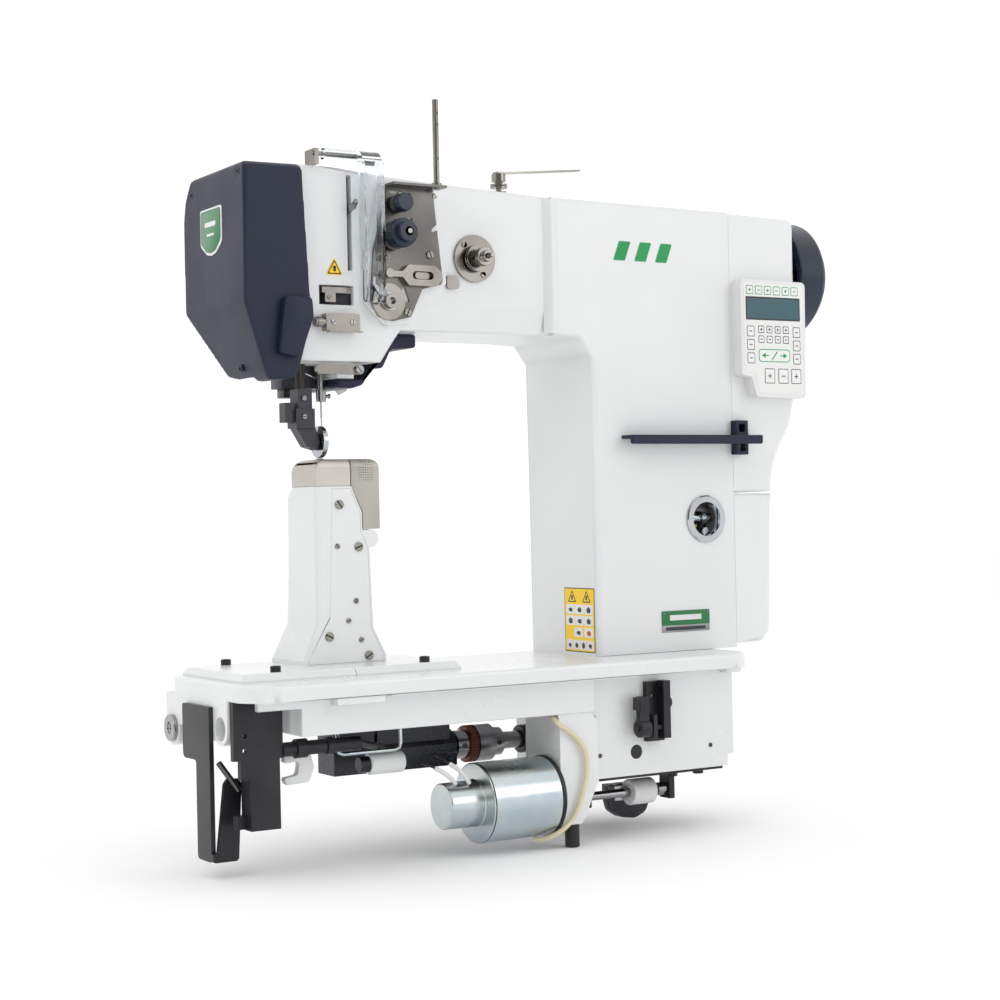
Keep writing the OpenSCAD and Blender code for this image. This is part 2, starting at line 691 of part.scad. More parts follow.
module needle_bar() color(STEEL) on_bed() difference() {
    union() {
        rod_z(needle_bar_r, 242, 416, needle_x, needle_y);
        rod_z(4.6, 236, 247, needle_x, needle_y);
        rod_x(1.6, needle_x, needle_x + 8, needle_y, 241);
    }
    rod_z(1, 230, 246, needle_x, needle_y);
}
module needle() color(STEEL) on_bed() {
    rod_z(1, 222, 245.9, needle_x, needle_y);
    rod_z(0.7, 204, 222.1, needle_x, needle_y);
    translate([needle_x, needle_y, 199.5]) cylinder(r1 = 0.1, r2 = 0.7, h = 4.6);
}
module presser_bar() color(STEEL) on_bed() {
    rod_z(presser_bar_r, 236, 412, presser_x, presser_y);
    block(presser_x - 7, presser_x + 7, 102, 118, 292, 302);
}
module foot_holder() color(BLACK) on_bed() difference() {
    union() {
        block(98.5, 112, 102, 118, 226, 246);
        block(96, 114, 101, 119, 212, 229);
        slab_xz([[96, 226], [96, 214], [107, 196], [117.5, 193], [117.5, 207], [114, 216],
                 [114, 226]], 103.5, 116.5);
        rod_x(7, 113.5, 118.8, roller_y, post_h + 1 + gap + roller_r);
        block(87, 96.1, 104, 116, 217, 234);
    }
    rod_z(presser_bar_r, 236, 247, presser_x, presser_y);
    rod_x(2.5 + run, 110, 120, roller_y, post_h + 1 + gap + roller_r);
}
module roller() color("#d5d8dc") on_bed() {
    zc = post_h + 1 + gap + roller_r;
    difference() {
        rod_x(roller_r, roller_x - 2.3, roller_x + 2.3, roller_y, zc);
        difference() {
            rod_x(roller_r - 3, roller_x + 0.8, roller_x + 3, roller_y, zc);
            rod_x(4.5, roller_x, roller_x + 4, roller_y, zc);
        }
    }
    rod_x(2.5, 112, roller_x, roller_y, zc);
}
module lifter_lever() color(STEEL) on_bed() difference() {
    union() {
        rod_y(9, 170.4, 176, 125, 300);
        slab_xz([[119, 296], [131, 302], [176, 262], [182, 250], [174, 246], [166, 256]],
                171, 175);
    }
    rod_y(3 + run, 168, 180, 125, 300);
}

// ---- Parts under the bed

box_pts = [[345, -20], [500, -20], [500, -94], [493, -95], [493, -105], [345, -105]];
module drive_box() color(WHITE) on_bed() difference() {
    union() {
        slab_xz(box_pts, 18, 152);
        block(345, 500, 18, 152, -20 - eps, -bed_t + pad_t);
        block(341, 345 + eps, 18, 30, -47.5, -bed_t + pad_t);
    }
    block(351, 494, 24, 146, -92, -bed_t + 1);
    block(351, 487, 24, 146, -101, -91);
    rod_x(11.5 + run, 344, 357, shaft_y, lower_z);
    rod_y(6.5, 17, 25, 389, -84);
    for (x = [349, 473]) {
        rod_y(2, 17, 24, x, -84.5);
    }
    block(380, 480, 40, 140, -106, -100);
}
module box_cover() color(BLACK) on_bed() difference() {
    union() {
        block(350, 490, 22, 150, -108, -105);
        for (x = [440, 470]) {
            rod_z(5, -112, -107.9, x, 34);
        }
        for (x = [356, 450]) {
            block(x, x + 6, rock_y - 8, rock_y + 8, -136, -107.9);
        }
    }
    rod_x(4 + run, 350, 460, rock_y, rock_z);
}
module latch_bracket() color(BLACK) on_bed() difference() {
    union() {
        block(397.5, 416.5, 12, 18, -75, -21);
        block(397.5, 401.5, 2, 12.1, -72, -50);
        block(409, 416.5, 2, 12.1, -72, -20);
        rod_x(5, 409, 418.5, 7, -40);
    }
    rod_x(2.5 + run, 396, 420, 7, -62);
    rod_x(2, 408, 420, 7, -28);
    rod_y(3, 0, 20, 405, -34);
}
module latch_lever() color(BLACK) on_bed() {
    rod_x(2.5, 382, 417.5, 7, -62);
    slab_yz([[2.6, -62], [4, -50], [3, -40], [5, -33], [10, -33], [10.5, -44], [10, -56],
             [11, -62]], 384, 394);
    rod_x(8, 384, 394, 7, -62);
    block(380, 392, 4, 9.5, -45, -33.5);
}
module hinge_plug() color(STEEL) on_bed() {
    rod_x(11 - run, 2, 34, plug_y, plug_z);
    difference() {
        rod_x(11.5, -4, 0, plug_y, plug_z);
        rod_x(5, -5, -1.5, plug_y, plug_z);
    }
    rod_x(8, -0.5, 2.1, plug_y, plug_z);
}
module hanger_bracket() color(BLACK) on_bed() {
    slab_yz(rounded([[70.5, -20], [70.5, -148], [99, -148], [99, -66], [127, -66],
                     [127, -20]], [1, 3, 4, 3, 5, 3]), -4, 0);
    slab_xz([[-4, -147], [-2, -148], [17, -148], [19, -146], [22.5, -84], [20, -80],
             [10, -80], [7, -84], [0.5, -139], [-4, -141]], 66.5, 70.6);
}
module channel_bracket() color(BLACK) on_bed() difference() {
    union() {
        block(2, 46, 35, 41, -62, -bed_t + pad_t);
        block(16.5, 43, 35, 54, -120, -61);
        block(8, 16.6, 35, 41, -78, -61.9);
        block(8, 16.6, 44, 52, -119, -108);
        rod_x(6, 46 - eps, 118, 38, -56);
        rod_x(8, 58, 68, 38, -56);
        rod_x(7.5, 86, 92, 38, -56);
    }
    block(20, 39.5, 39, 55, -121, -58);
    rod_y(2, 34, 42, 12, -42);
    rod_y(2, 34, 42, 12, -54);
}
module solenoid() color(ZINC) on_bed() difference() {
    union() {
        rod_x(20, 195, 228.1, can_y, can_z);
        rod_x(35, 228, 300, can_y, can_z);
        rod_x(33, 300 - eps, 304, can_y, can_z);
    }
    rod_x(9 + run, 250, 305, can_y, can_z);
}
module plunger() color(STEEL) on_bed() {
    rod_x(9, 262, 316, can_y, can_z);
    rod_x(5, 316 - eps, 336, can_y, can_z);
}
web_pts = [[303, skirt_z], [338.5, skirt_z], [344, -53], [344.5, -106], [338, -118], [329, -138],
           [325, -142], [310, -142], [304, -128], [304, -60]];
module solenoid_bracket() color(WHITE) on_bed() difference() {
    union() {
        slab_xz(web_pts, 14, 24);
        slab_yz(rounded([[14, -142], [14, skirt_z], [70, skirt_z], [72, -110], [58, -146],
                         [30, -150]], [3, 0, 0, 10, 10, 6]), 304, 309);
        block(309 - eps, 345, 24 - eps, 34, -100, -60);
    }
    rod_x(12, 300, 350, can_y, can_z);
}
module rubber_peg() color(BLACK) on_bed() {
    rod_z(6.5, -162, -142, 318, 19);
}
weight_pts = [[396, -121], [440, -121], [443, -136], [437, -149], [425, -154], [410, -152],
              [399, -145], [396, -134]];
module rock_shaft() color(STEEL) on_bed() {
    rod_x(4, 352, 404, rock_y, rock_z);
    rod_x(6, 440, 448, rock_y, rock_z);
    rod_x(4, 447.9, 458, rock_y, rock_z);
    rod_x(3.5, 403.9, 440.1, rock_y, rock_z);
    block(396, 403.5, rock_y + 1, rock_y + 25, rock_z - 7, rock_z + 6);
    slab_xz(rounded(weight_pts, [2, 2, 6, 10, 12, 12, 10, 4]), rock_y + 13, rock_y + 25);
}
module nylon_roller() color(NYLON) on_bed() difference() {
    rod_x(12, 408, 434, rock_y, rock_z);
    rod_x(3.5 + run, 400, 450, rock_y, rock_z);
}

// ---- Cable, swept along its own points

function cross3(a, b) = [a[1] * b[2] - a[2] * b[1], a[2] * b[0] - a[0] * b[2],
                         a[0] * b[1] - a[1] * b[0]];
function along(p, i) = unit(p[min(i + 1, len(p) - 1)] - p[max(i - 1, 0)]);
// One ring of the tube round point i
function ring(p, i, r, sides) =
    let (
        t = along(p, i),
        side = unit(cross3(t, [1, 0, 0.02])),
        up = cross3(t, side)
    )
    [for (k = [0:sides - 1]) p[i] + r * (cos(360 * k / sides) * side + sin(360 * k / sides) * up)];
module tube(p, r, sides) {
    rings = len(p);
    pts = [for (i = [0:rings - 1]) each ring(p, i, r, sides)];
    walls = [for (i = [0:rings - 2]) for (k = [0:sides - 1])
        [i * sides + k, i * sides + (k + 1) % sides,
         (i + 1) * sides + (k + 1) % sides, (i + 1) * sides + k]];
    ends = [[for (k = [sides - 1:-1:0]) k],
            [for (k = [0:sides - 1]) (rings - 1) * sides + k]];
    polyhedron(points = pts, faces = concat(walls, ends));
}
module cable() color(CABLE) on_bed() tube(cable_route, 2.3, 8);

// ---- Screws

module cap_screw_up(x, y, z) {
    difference() {
        rod_z(4.5, z, z + 5, x, y);
        translate([x, y, z + 2.5]) cylinder(r = 2.4, h = 3, $fn = 6);
    }
    rod_z(2.5, z - 19, z + eps, x, y);
}
module slot_screw_front(x, y, z, r) {
    difference() {
        rod_y(r, y - r * 0.45, y, x, z);
        block(x - r - 1, x + r + 1, y - r, y - r * 0.22, z - r * 0.14, z + r * 0.14);
    }
}
module black_screws() color(BLACK) on_bed() {
    for (p = plate_screws) {
        cap_screw_up(p[0], p[1], plate_z);
    }
    for (p = [[66, 424, 30.5], [165, 418, 30.5], [98, 262, 44]]) {
        rod_x(3.6, p[2] - 3, p[2], p[0], p[1]);
    }
}
module nickel_screws() color(STEEL) on_bed() {
    for (p = [[130, 145], [148, 108], [118, 31], [156, 13]]) {
        slot_screw_front(p[0], post_y, p[1], 4);
    }
    for (p = [[127.5, 109], [144.5, 61], [137, 44], [149, 27]]) {
        slot_screw_front(p[0], post_y, p[1], 2.4);
    }
    for (p = [[208, 362], [184.6, 311]]) {
        slot_screw_front(p[0], 58.8, p[1], 3.6);
    }
    translate([160.6, 54, 357]) sphere(r = 2.8);
    rod_y(1.4, 54, 58.8, 160.6, 357);
}

bed();
insert_plates();
post();
post_cover();
post_cap();
hook_cover();
hook();
hook_shaft();
feed_wheel();
lower_shaft();
lower_pulley();
coupling_disc();
shaft_bush();
shaft_housing();
timing_belt();
arm();
face_cover();
under_cover();
top_cover();
eye_guard();
take_up_lever();
thread_plate();
tension_discs();
main_knob();
small_knob();
pre_tension_nut();
check_spring();
thread_guides();
thread_pin();
upper_side_cover();
lower_side_cover();
control_panel();
hand_rest();
handwheel();
upper_shaft();
upper_pulley();
motor();
needle_bar();
needle();
presser_bar();
foot_holder();
roller();
oil_window();
drive_box();
box_cover();
latch_bracket();
latch_lever();
hinge_plug();
hanger_bracket();
channel_bracket();
solenoid();
plunger();
solenoid_bracket();
cable();
rubber_peg();
rock_shaft();
nylon_roller();
lifter_lever();
black_screws();
nickel_screws();
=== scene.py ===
import bpy
import bmesh
import json
import math
from mathutils import Euler, Matrix, Vector

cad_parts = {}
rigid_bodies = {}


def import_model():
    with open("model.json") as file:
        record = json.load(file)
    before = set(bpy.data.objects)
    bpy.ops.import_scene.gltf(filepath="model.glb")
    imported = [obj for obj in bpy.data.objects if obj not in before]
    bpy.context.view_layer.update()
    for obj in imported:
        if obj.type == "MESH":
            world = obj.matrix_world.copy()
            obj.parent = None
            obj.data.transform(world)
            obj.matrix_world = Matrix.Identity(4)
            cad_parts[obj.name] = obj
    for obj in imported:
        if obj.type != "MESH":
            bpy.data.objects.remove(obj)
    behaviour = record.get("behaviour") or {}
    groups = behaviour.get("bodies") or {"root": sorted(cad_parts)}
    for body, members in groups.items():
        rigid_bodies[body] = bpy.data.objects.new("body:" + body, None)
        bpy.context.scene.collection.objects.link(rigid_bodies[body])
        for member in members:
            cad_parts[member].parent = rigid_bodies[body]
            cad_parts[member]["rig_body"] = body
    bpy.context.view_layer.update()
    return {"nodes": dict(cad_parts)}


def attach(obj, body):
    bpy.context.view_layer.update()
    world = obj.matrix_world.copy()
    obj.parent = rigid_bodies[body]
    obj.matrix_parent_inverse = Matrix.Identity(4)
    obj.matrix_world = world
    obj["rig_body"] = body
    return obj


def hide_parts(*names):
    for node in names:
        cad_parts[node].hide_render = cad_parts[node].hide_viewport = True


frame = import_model()
print("frame loaded:", len(frame["nodes"]), "nodes")

scene = bpy.context.scene


originX, originY, originZ = 258.5, 6, -14      # the frame's origin in the bed's own millimetres


def at(x, y, z):
    return Vector(((x - originX) / 1000, (y - originY) / 1000,
                   (z - originZ) / 1000))      # bed millimetres to the frame


# ---- Materials

def newMaterial(name):
    material = bpy.data.materials.new(name)
    material.use_nodes = True
    tree = material.node_tree
    shader = tree.nodes["Principled BSDF"]
    return material, tree, shader


def noiseNode(tree, scale, detail=3.0, rough=0.5, stretch=None):
    coords = tree.nodes.new("ShaderNodeTexCoord")
    noise = tree.nodes.new("ShaderNodeTexNoise")
    noise.inputs["Scale"].default_value = scale
    noise.inputs["Detail"].default_value = detail
    noise.inputs["Roughness"].default_value = rough
    if stretch:
        mapping = tree.nodes.new("ShaderNodeMapping")
        mapping.inputs["Scale"].default_value = stretch
        tree.links.new(coords.outputs["Object"], mapping.inputs["Vector"])
        tree.links.new(mapping.outputs["Vector"], noise.inputs["Vector"])
    else:
        tree.links.new(coords.outputs["Object"], noise.inputs["Vector"])
    return noise


def ramp(tree, source, low, high, start=0.35, end=0.65):
    node = tree.nodes.new("ShaderNodeMapRange")
    node.inputs["From Min"].default_value = start
    node.inputs["From Max"].default_value = end
    node.inputs["To Min"].default_value = low
    node.inputs["To Max"].default_value = high
    tree.links.new(source, node.inputs["Value"])
    return node.outputs["Result"]


def tint(tree, factor, colorA, colorB):
    mix = tree.nodes.new("ShaderNodeMix")
    mix.data_type = "RGBA"
    mix.inputs["A"].default_value = (*colorA, 1)
    mix.inputs["B"].default_value = (*colorB, 1)
    tree.links.new(factor, mix.inputs["Factor"])
    return mix.outputs["Result"]


def surface(name, color, rough=(0.3, 0.4), metal=0.0, grain=900, bump=0.1, depth=0.0002, second=None,
            coat=0.0, stretch=None, spotScale=14, shine=0.5):
    material, tree, shader = newMaterial(name)
    broad = noiseNode(tree, spotScale, 4.0)
    fine = noiseNode(tree, grain, 2.0, stretch=stretch)
    other = second or tuple(c * 0.9 for c in color)
    tree.links.new(tint(tree, ramp(tree, broad.outputs["Fac"], 0, 1), color, other),
                   shader.inputs["Base Color"])
    tree.links.new(ramp(tree, broad.outputs["Fac"], rough[0], rough[1]), shader.inputs["Roughness"])
    relief = tree.nodes.new("ShaderNodeBump")
    relief.inputs["Strength"].default_value = bump
    relief.inputs["Distance"].default_value = depth
    tree.links.new(fine.outputs["Fac"], relief.inputs["Height"])
    tree.links.new(relief.outputs["Normal"], shader.inputs["Normal"])
    shader.inputs["Metallic"].default_value = metal
    shader.inputs["Specular IOR Level"].default_value = shine
    shader.inputs["Coat Weight"].default_value = coat
    shader.inputs["Coat Roughness"].default_value = 0.12
    return material


def clearPlastic(name, color, rough, index):
    material, tree, shader = newMaterial(name)
    broad = noiseNode(tree, 40, 2.0)
    tree.links.new(ramp(tree, broad.outputs["Fac"], rough, rough * 2.5), shader.inputs["Roughness"])
    shader.inputs["Base Color"].default_value = (*color, 1)
    shader.inputs["IOR"].default_value = index
    shader.inputs["Transmission Weight"].default_value = 1.0
    return material


finishes = {
    "enamel": surface("enamel", (0.76, 0.77, 0.775), (0.28, 0.38), grain=260, bump=0.10, depth=0.0003,
                      second=(0.745, 0.755, 0.76), coat=0.2),
    "bedEnamel": surface("bedEnamel", (0.76, 0.77, 0.775), (0.24, 0.28), grain=150, bump=0.06, depth=0.0003,
                         second=(0.75, 0.76, 0.765), coat=0.25),
    "cleanEnamel": surface("cleanEnamel", (0.78, 0.79, 0.795), (0.32, 0.4), grain=500, bump=0.05, coat=0.15,
                           second=(0.765, 0.775, 0.78)),
    "navyPlastic": surface("navyPlastic", (0.005, 0.009, 0.030), (0.36, 0.48), grain=900, bump=0.5,
                           depth=0.0004,
                           second=(0.010, 0.013, 0.036), shine=0.35),
    "navyPaint": surface("navyPaint", (0.004, 0.010, 0.024), (0.25, 0.4), grain=500, bump=0.12,
                         second=(0.008, 0.018, 0.044), coat=0.15, shine=0.4),
    "nickel": surface("nickel", (0.30, 0.285, 0.26), (0.2, 0.34), 1.0, 700, 0.14, second=(0.2, 0.185, 0.17)),
    "satinNickel": surface("satinNickel", (0.44, 0.42, 0.39), (0.4, 0.52), 0.85, 1500, 0.3, depth=0.0002,
                           second=(0.37, 0.355, 0.325)),
    "plateNickel": surface("plateNickel", (0.15, 0.145, 0.135), (0.26, 0.4), 1.0, 900, 0.2,
                           second=(0.10, 0.095, 0.09)),
    "capNickel": surface("capNickel", (0.60, 0.57, 0.53), (0.36, 0.46), 0.8, 1500, 0.3, depth=0.0002,
                         second=(0.53, 0.50, 0.46)),
    "steel": surface("steel", (0.40, 0.40, 0.41), (0.16, 0.32), 1.0, 500, 0.12, stretch=(1, 8, 8),
                     second=(0.26, 0.26, 0.27)),
    "darkSteel": surface("darkSteel", (0.16, 0.155, 0.15), (0.3, 0.45), 1.0, 600, 0.25,
                         second=(0.07, 0.065, 0.06)),
    "polished": surface("polished", (0.55, 0.57, 0.59), (0.06, 0.14), 1.0, 300, 0.04,
                        second=(0.42, 0.44, 0.46)),
    "blackOxide": surface("blackOxide", (0.012, 0.013, 0.016), (0.3, 0.46), 0.4, 700, 0.3, depth=0.0003,
                          second=(0.03, 0.03, 0.034)),
    "blackCast": surface("blackCast", (0.02, 0.021, 0.03), (0.25, 0.45), 0.3, 420, 0.6, depth=0.0006,
                         second=(0.045, 0.045, 0.055)),
    "zinc": surface("zinc", (0.46, 0.54, 0.60), (0.14, 0.3), 1.0, 260, 0.12, stretch=(1, 14, 14),
                    second=(0.60, 0.64, 0.62), spotScale=22),
    "panel": surface("panel", (0.77, 0.77, 0.765), (0.42, 0.52), grain=1500, bump=0.2,
                     second=(0.75, 0.75, 0.745)),
    "overlay": surface("overlay", (0.82, 0.82, 0.81), (0.3, 0.4), grain=900, bump=0.05,
                       second=(0.80, 0.80, 0.79)),
    "whiteInk": surface("whiteInk", (0.8, 0.8, 0.8), (0.35, 0.5), grain=800, bump=0.04),
    "greyInk": surface("greyInk", (0.03, 0.032, 0.036), (0.4, 0.5), grain=800, bump=0.04),
    "greenInk": surface("greenInk", (0.0, 0.17, 0.035), (0.3, 0.4), grain=800, bump=0.04, coat=0.3,
                        second=(0.0, 0.15, 0.03)),
    "brightGreen": surface("brightGreen", (0.0, 0.30, 0.07), (0.35, 0.45), grain=800, bump=0.04),
    "yellowInk": surface("yellowInk", (0.95, 0.62, 0.0), (0.35, 0.45), grain=800, bump=0.04,
                         second=(0.92, 0.60, 0.0)),
    "redInk": surface("redInk", (0.6, 0.03, 0.02), (0.35, 0.45), grain=800, bump=0.04),
    "screen": surface("screen", (0.012, 0.085, 0.11), (0.12, 0.2), grain=1800, bump=0.05, coat=0.5,
                      second=(0.010, 0.075, 0.10)),
    "pvc": surface("pvc", (0.72, 0.66, 0.45), (0.35, 0.5), grain=600, bump=0.12, second=(0.68, 0.61, 0.40)),
    "rubber": surface("rubber", (0.018, 0.018, 0.019), (0.55, 0.75), grain=700, bump=0.3),
    "nylon": surface("nylon", (0.84, 0.85, 0.84), (0.3, 0.42), grain=400, bump=0.08),
    "brownRing": surface("brownRing", (0.16, 0.045, 0.015), (0.35, 0.55), 0.3, 500, 0.4,
                         second=(0.07, 0.02, 0.01)),
    "brass": surface("brass", (0.55, 0.38, 0.14), (0.22, 0.36), 1.0, 400, 0.1),
    "clear": clearPlastic("clear", (0.90, 0.93, 0.95), 0.03, 1.22),
    "window": clearPlastic("window", (0.92, 0.95, 0.96), 0.01, 1.12),
    "floor": surface("floor", (0.97, 0.97, 0.97), (0.7, 0.8), grain=60, bump=0.01,
                     second=(0.965, 0.965, 0.965), shine=0.0),
}
print("materials:", len(finishes))


# ---- Pieces

def settle(mesh, name, body, finish, swaps=(), angle=30):
    piece = bpy.data.objects.new(name, mesh)
    scene.collection.objects.link(piece)
    mesh.materials.clear()
    mesh.materials.append(finishes[finish])
    for face in mesh.polygons:
        face.material_index = 0
    if angle:
        mesh.shade_smooth()
        mesh.set_sharp_from_angle(angle=math.radians(angle))
    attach(piece, body)
    if swaps:
        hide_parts(*swaps)
    return piece


def baked(holder):
    evaluated = holder.evaluated_get(bpy.context.evaluated_depsgraph_get())
    mesh = bpy.data.meshes.new_from_object(evaluated)
    bpy.data.objects.remove(holder)
    return mesh


def holderOf(mesh):
    holder = bpy.data.objects.new("holder", mesh)
    scene.collection.objects.link(holder)
    return holder


sharpTurn = 34      # degrees between faces that make an edge sharp


def bevelled(mesh, width, segments=3, clamp=True, limit="WEIGHT"):
    mesh.shade_smooth()
    mesh.set_sharp_from_angle(angle=math.radians(sharpTurn))
    holder = holderOf(mesh)
    bevel = holder.modifiers.new("soft", "BEVEL")
    bevel.width = width / 1000
    bevel.segments = segments
    bevel.limit_method = limit
    bevel.angle_limit = math.radians(35)
    bevel.use_clamp_overlap = clamp
    bevel.miter_outer = "MITER_ARC"
    bevel.harden_normals = False
    weigh = holder.modifiers.new("weigh", "WEIGHTED_NORMAL")
    weigh.keep_sharp = True
    weigh.weight = 80
    return baked(holder)


def cadCopy(node):
    work = bmesh.new()
    work.from_mesh(frame["nodes"][node].data)
    bmesh.ops.remove_doubles(work, verts=work.verts, dist=4e-6)
    bmesh.ops.dissolve_limit(work, angle_limit=math.radians(0.5), verts=work.verts, edges=work.edges)
    bmesh.ops.recalc_face_normals(work, faces=work.faces)
    return work


def weightLayer(work):
    layers = work.edges.layers.float
    return layers.get("bevel_weight_edge") or layers.new("bevel_weight_edge")


def softNode(node, finish, width, segments):
    work = cadCopy(node)
    weight = weightLayer(work)
    for edge in work.edges:
        if edge.is_manifold and edge.calc_face_angle(0) > math.radians(sharpTurn):
            edge[weight] = 1
    mesh = bpy.data.meshes.new(node)
    work.to_mesh(mesh)
    work.free()
    mesh = bevelled(mesh, width, segments)
    body = frame["nodes"][node]["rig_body"]
    return settle(mesh, "soft_" + node, body, finish, (node,), 0)


def outline(points, radii, count=5):
    result = []
    total = len(points)
    for i, point in enumerate(points):
        p, before, after = (Vector(q) for q in (point, points[i - 1], points[(i + 1) % total]))
        radius = radii[i] if isinstance(radii, (list, tuple)) else radii
        if radius <= 0:
            result.append(tuple(p))
            continue
        u, v = (before - p).normalized(), (after - p).normalized()
        half = u.angle(v) / 2
        reach = min(radius / math.tan(half), (before - p).length * 0.48, (after - p).length * 0.48)
        first, last = p + u * reach, p + v * reach
        for k in range(count + 1):
            t = k / count
            result.append(tuple(first * (1 - t) ** 2 + p * 2 * t * (1 - t) + last * t * t))
    return result


def slabMesh(points, plane, low, high, soft=0.0, segments=2):
    places = {"xz": lambda a, b, c: at(a, c, b), "yz": lambda a, b, c: at(c, a, b), "xy": lambda a, b,
              c: at(a, b, c)}
    place = places[plane]
    work = bmesh.new()
    base = [work.verts.new(place(a, b, low)) for a, b in points]
    top = [work.verts.new(place(a, b, high)) for a, b in points]
    work.faces.new(base)
    work.faces.new(list(reversed(top)))
    count = len(points)
    for i in range(count):
        work.faces.new((base[i], top[i], top[(i + 1) % count], base[(i + 1) % count]))
    bmesh.ops.recalc_face_normals(work, faces=work.faces)
    mesh = bpy.data.meshes.new("slab")
    work.to_mesh(mesh)
    work.free()
    if soft:
        mesh = bevelled(mesh, soft, segments, limit="ANGLE")
    return mesh


def slab(name, body, finish, points, plane, low, high, soft=0.0, radii=0.0, swaps=()):
    shape = outline(points, radii) if radii else points
    return settle(slabMesh(shape, plane, low, high, soft), name, body, finish, swaps)


def rectangle(a0, a1, b0, b1):
    return [(a0, b0), (a1, b0), (a1, b1), (a0, b1)]


def turnedMesh(profile, axis, centre, sides=48):
    work = bmesh.new()
    turns = {"x": Euler((0, math.pi / 2, 0)), "y": Euler((-math.pi / 2, 0, 0)), "z": Euler((0, 0, 0))}
    spin = turns[axis].to_matrix()
    rings = []
    for radius, height in profile:
        row = []
        for k in range(sides):
            angle = 2 * math.pi * k / sides
            local = Vector((radius * math.cos(angle), radius * math.sin(angle), height)) / 1000
            row.append(work.verts.new(at(*centre) + spin @ local))
        rings.append(row)
    for first, second in zip(rings, rings[1:]):
        for k in range(sides):
            work.faces.new((first[k], first[(k + 1) % sides], second[(k + 1) % sides], second[k]))
    if profile[0][0] >= 3:
        for k in range(sides):
            nextK = (k + 1) % sides
            work.faces.new((rings[-1][k], rings[-1][nextK], rings[0][nextK], rings[0][k]))
    else:
        work.faces.new(rings[0][::-1])
        work.faces.new(rings[-1])
    bmesh.ops.recalc_face_normals(work, faces=work.faces)
    mesh = bpy.data.meshes.new("turned")
    work.to_mesh(mesh)
    work.free()
    return mesh


def turned(name, body, finish, profile, axis, centre, sides=48, swaps=()):
    return settle(turnedMesh(profile, axis, centre, sides), name, body, finish, swaps)


def tubeMesh(route, radius, smooth=True):
    curve = bpy.data.curves.new("tube", "CURVE")
    curve.dimensions = "3D"
    curve.bevel_depth = radius / 1000
    curve.bevel_resolution = 4
    curve.use_fill_caps = True
    line = curve.splines.new("BEZIER" if smooth else "POLY")
    places = line.bezier_points if smooth else line.points
    places.add(len(route) - 1)
    for spot, point in zip(places, route):
        if smooth:
            spot.co = at(*point)
            spot.handle_left_type = spot.handle_right_type = "AUTO"
        else:
            spot.co = (*at(*point), 1)
    curve.resolution_u = 8
    return baked(holderOf(curve))


def tube(name, body, finish, route, radius, smooth=True, swaps=()):
    return settle(tubeMesh(route, radius, smooth=smooth), name, body, finish, swaps, 60)


def merged(meshes):
    work = bmesh.new()
    for mesh in meshes:
        work.from_mesh(mesh)
    mesh = bpy.data.meshes.new("merged")
    work.to_mesh(mesh)
    work.free()
    return mesh


# ---- Geometry Nodes trees

def newTree(name, inputs):
    tree = bpy.data.node_groups.new(name, "GeometryNodeTree")
    tree.interface.new_socket(name="Geometry", in_out="INPUT", socket_type="NodeSocketGeometry")
    kinds = {"float": "NodeSocketFloat", "int": "NodeSocketInt", "vector": "NodeSocketVector",
             "material": "NodeSocketMaterial", "bool": "NodeSocketBool"}
    for label, kind, value in inputs:
        socket = tree.interface.new_socket(name=label, in_out="INPUT", socket_type=kinds[kind])
        if kind != "material":
            socket.default_value = value
    tree.interface.new_socket(name="Geometry", in_out="OUTPUT", socket_type="NodeSocketGeometry")
    return tree, tree.nodes.new("NodeGroupInput"), tree.nodes.new("NodeGroupOutput")


def addNode(tree, kind, values=None, **settings):
    node = tree.nodes.new(kind)
    for key, value in settings.items():
        setattr(node, key, value)
    for key, value in (values or {}).items():
        if isinstance(value, bpy.types.NodeSocket):
            tree.links.new(value, node.inputs[key])
        else:
            node.inputs[key].default_value = value
    return node


def maths(tree, operation, first, second):
    return addNode(tree, "ShaderNodeMath", {0: first, 1: second}, operation=operation).outputs[0]


def finishTree(tree, output, geometry, given):
    real = addNode(tree, "GeometryNodeRealizeInstances", {"Geometry": geometry})
    paint = addNode(tree, "GeometryNodeSetMaterial", {"Geometry": real.outputs[0], "Material": given})
    tree.links.new(paint.outputs[0], output.inputs[0])


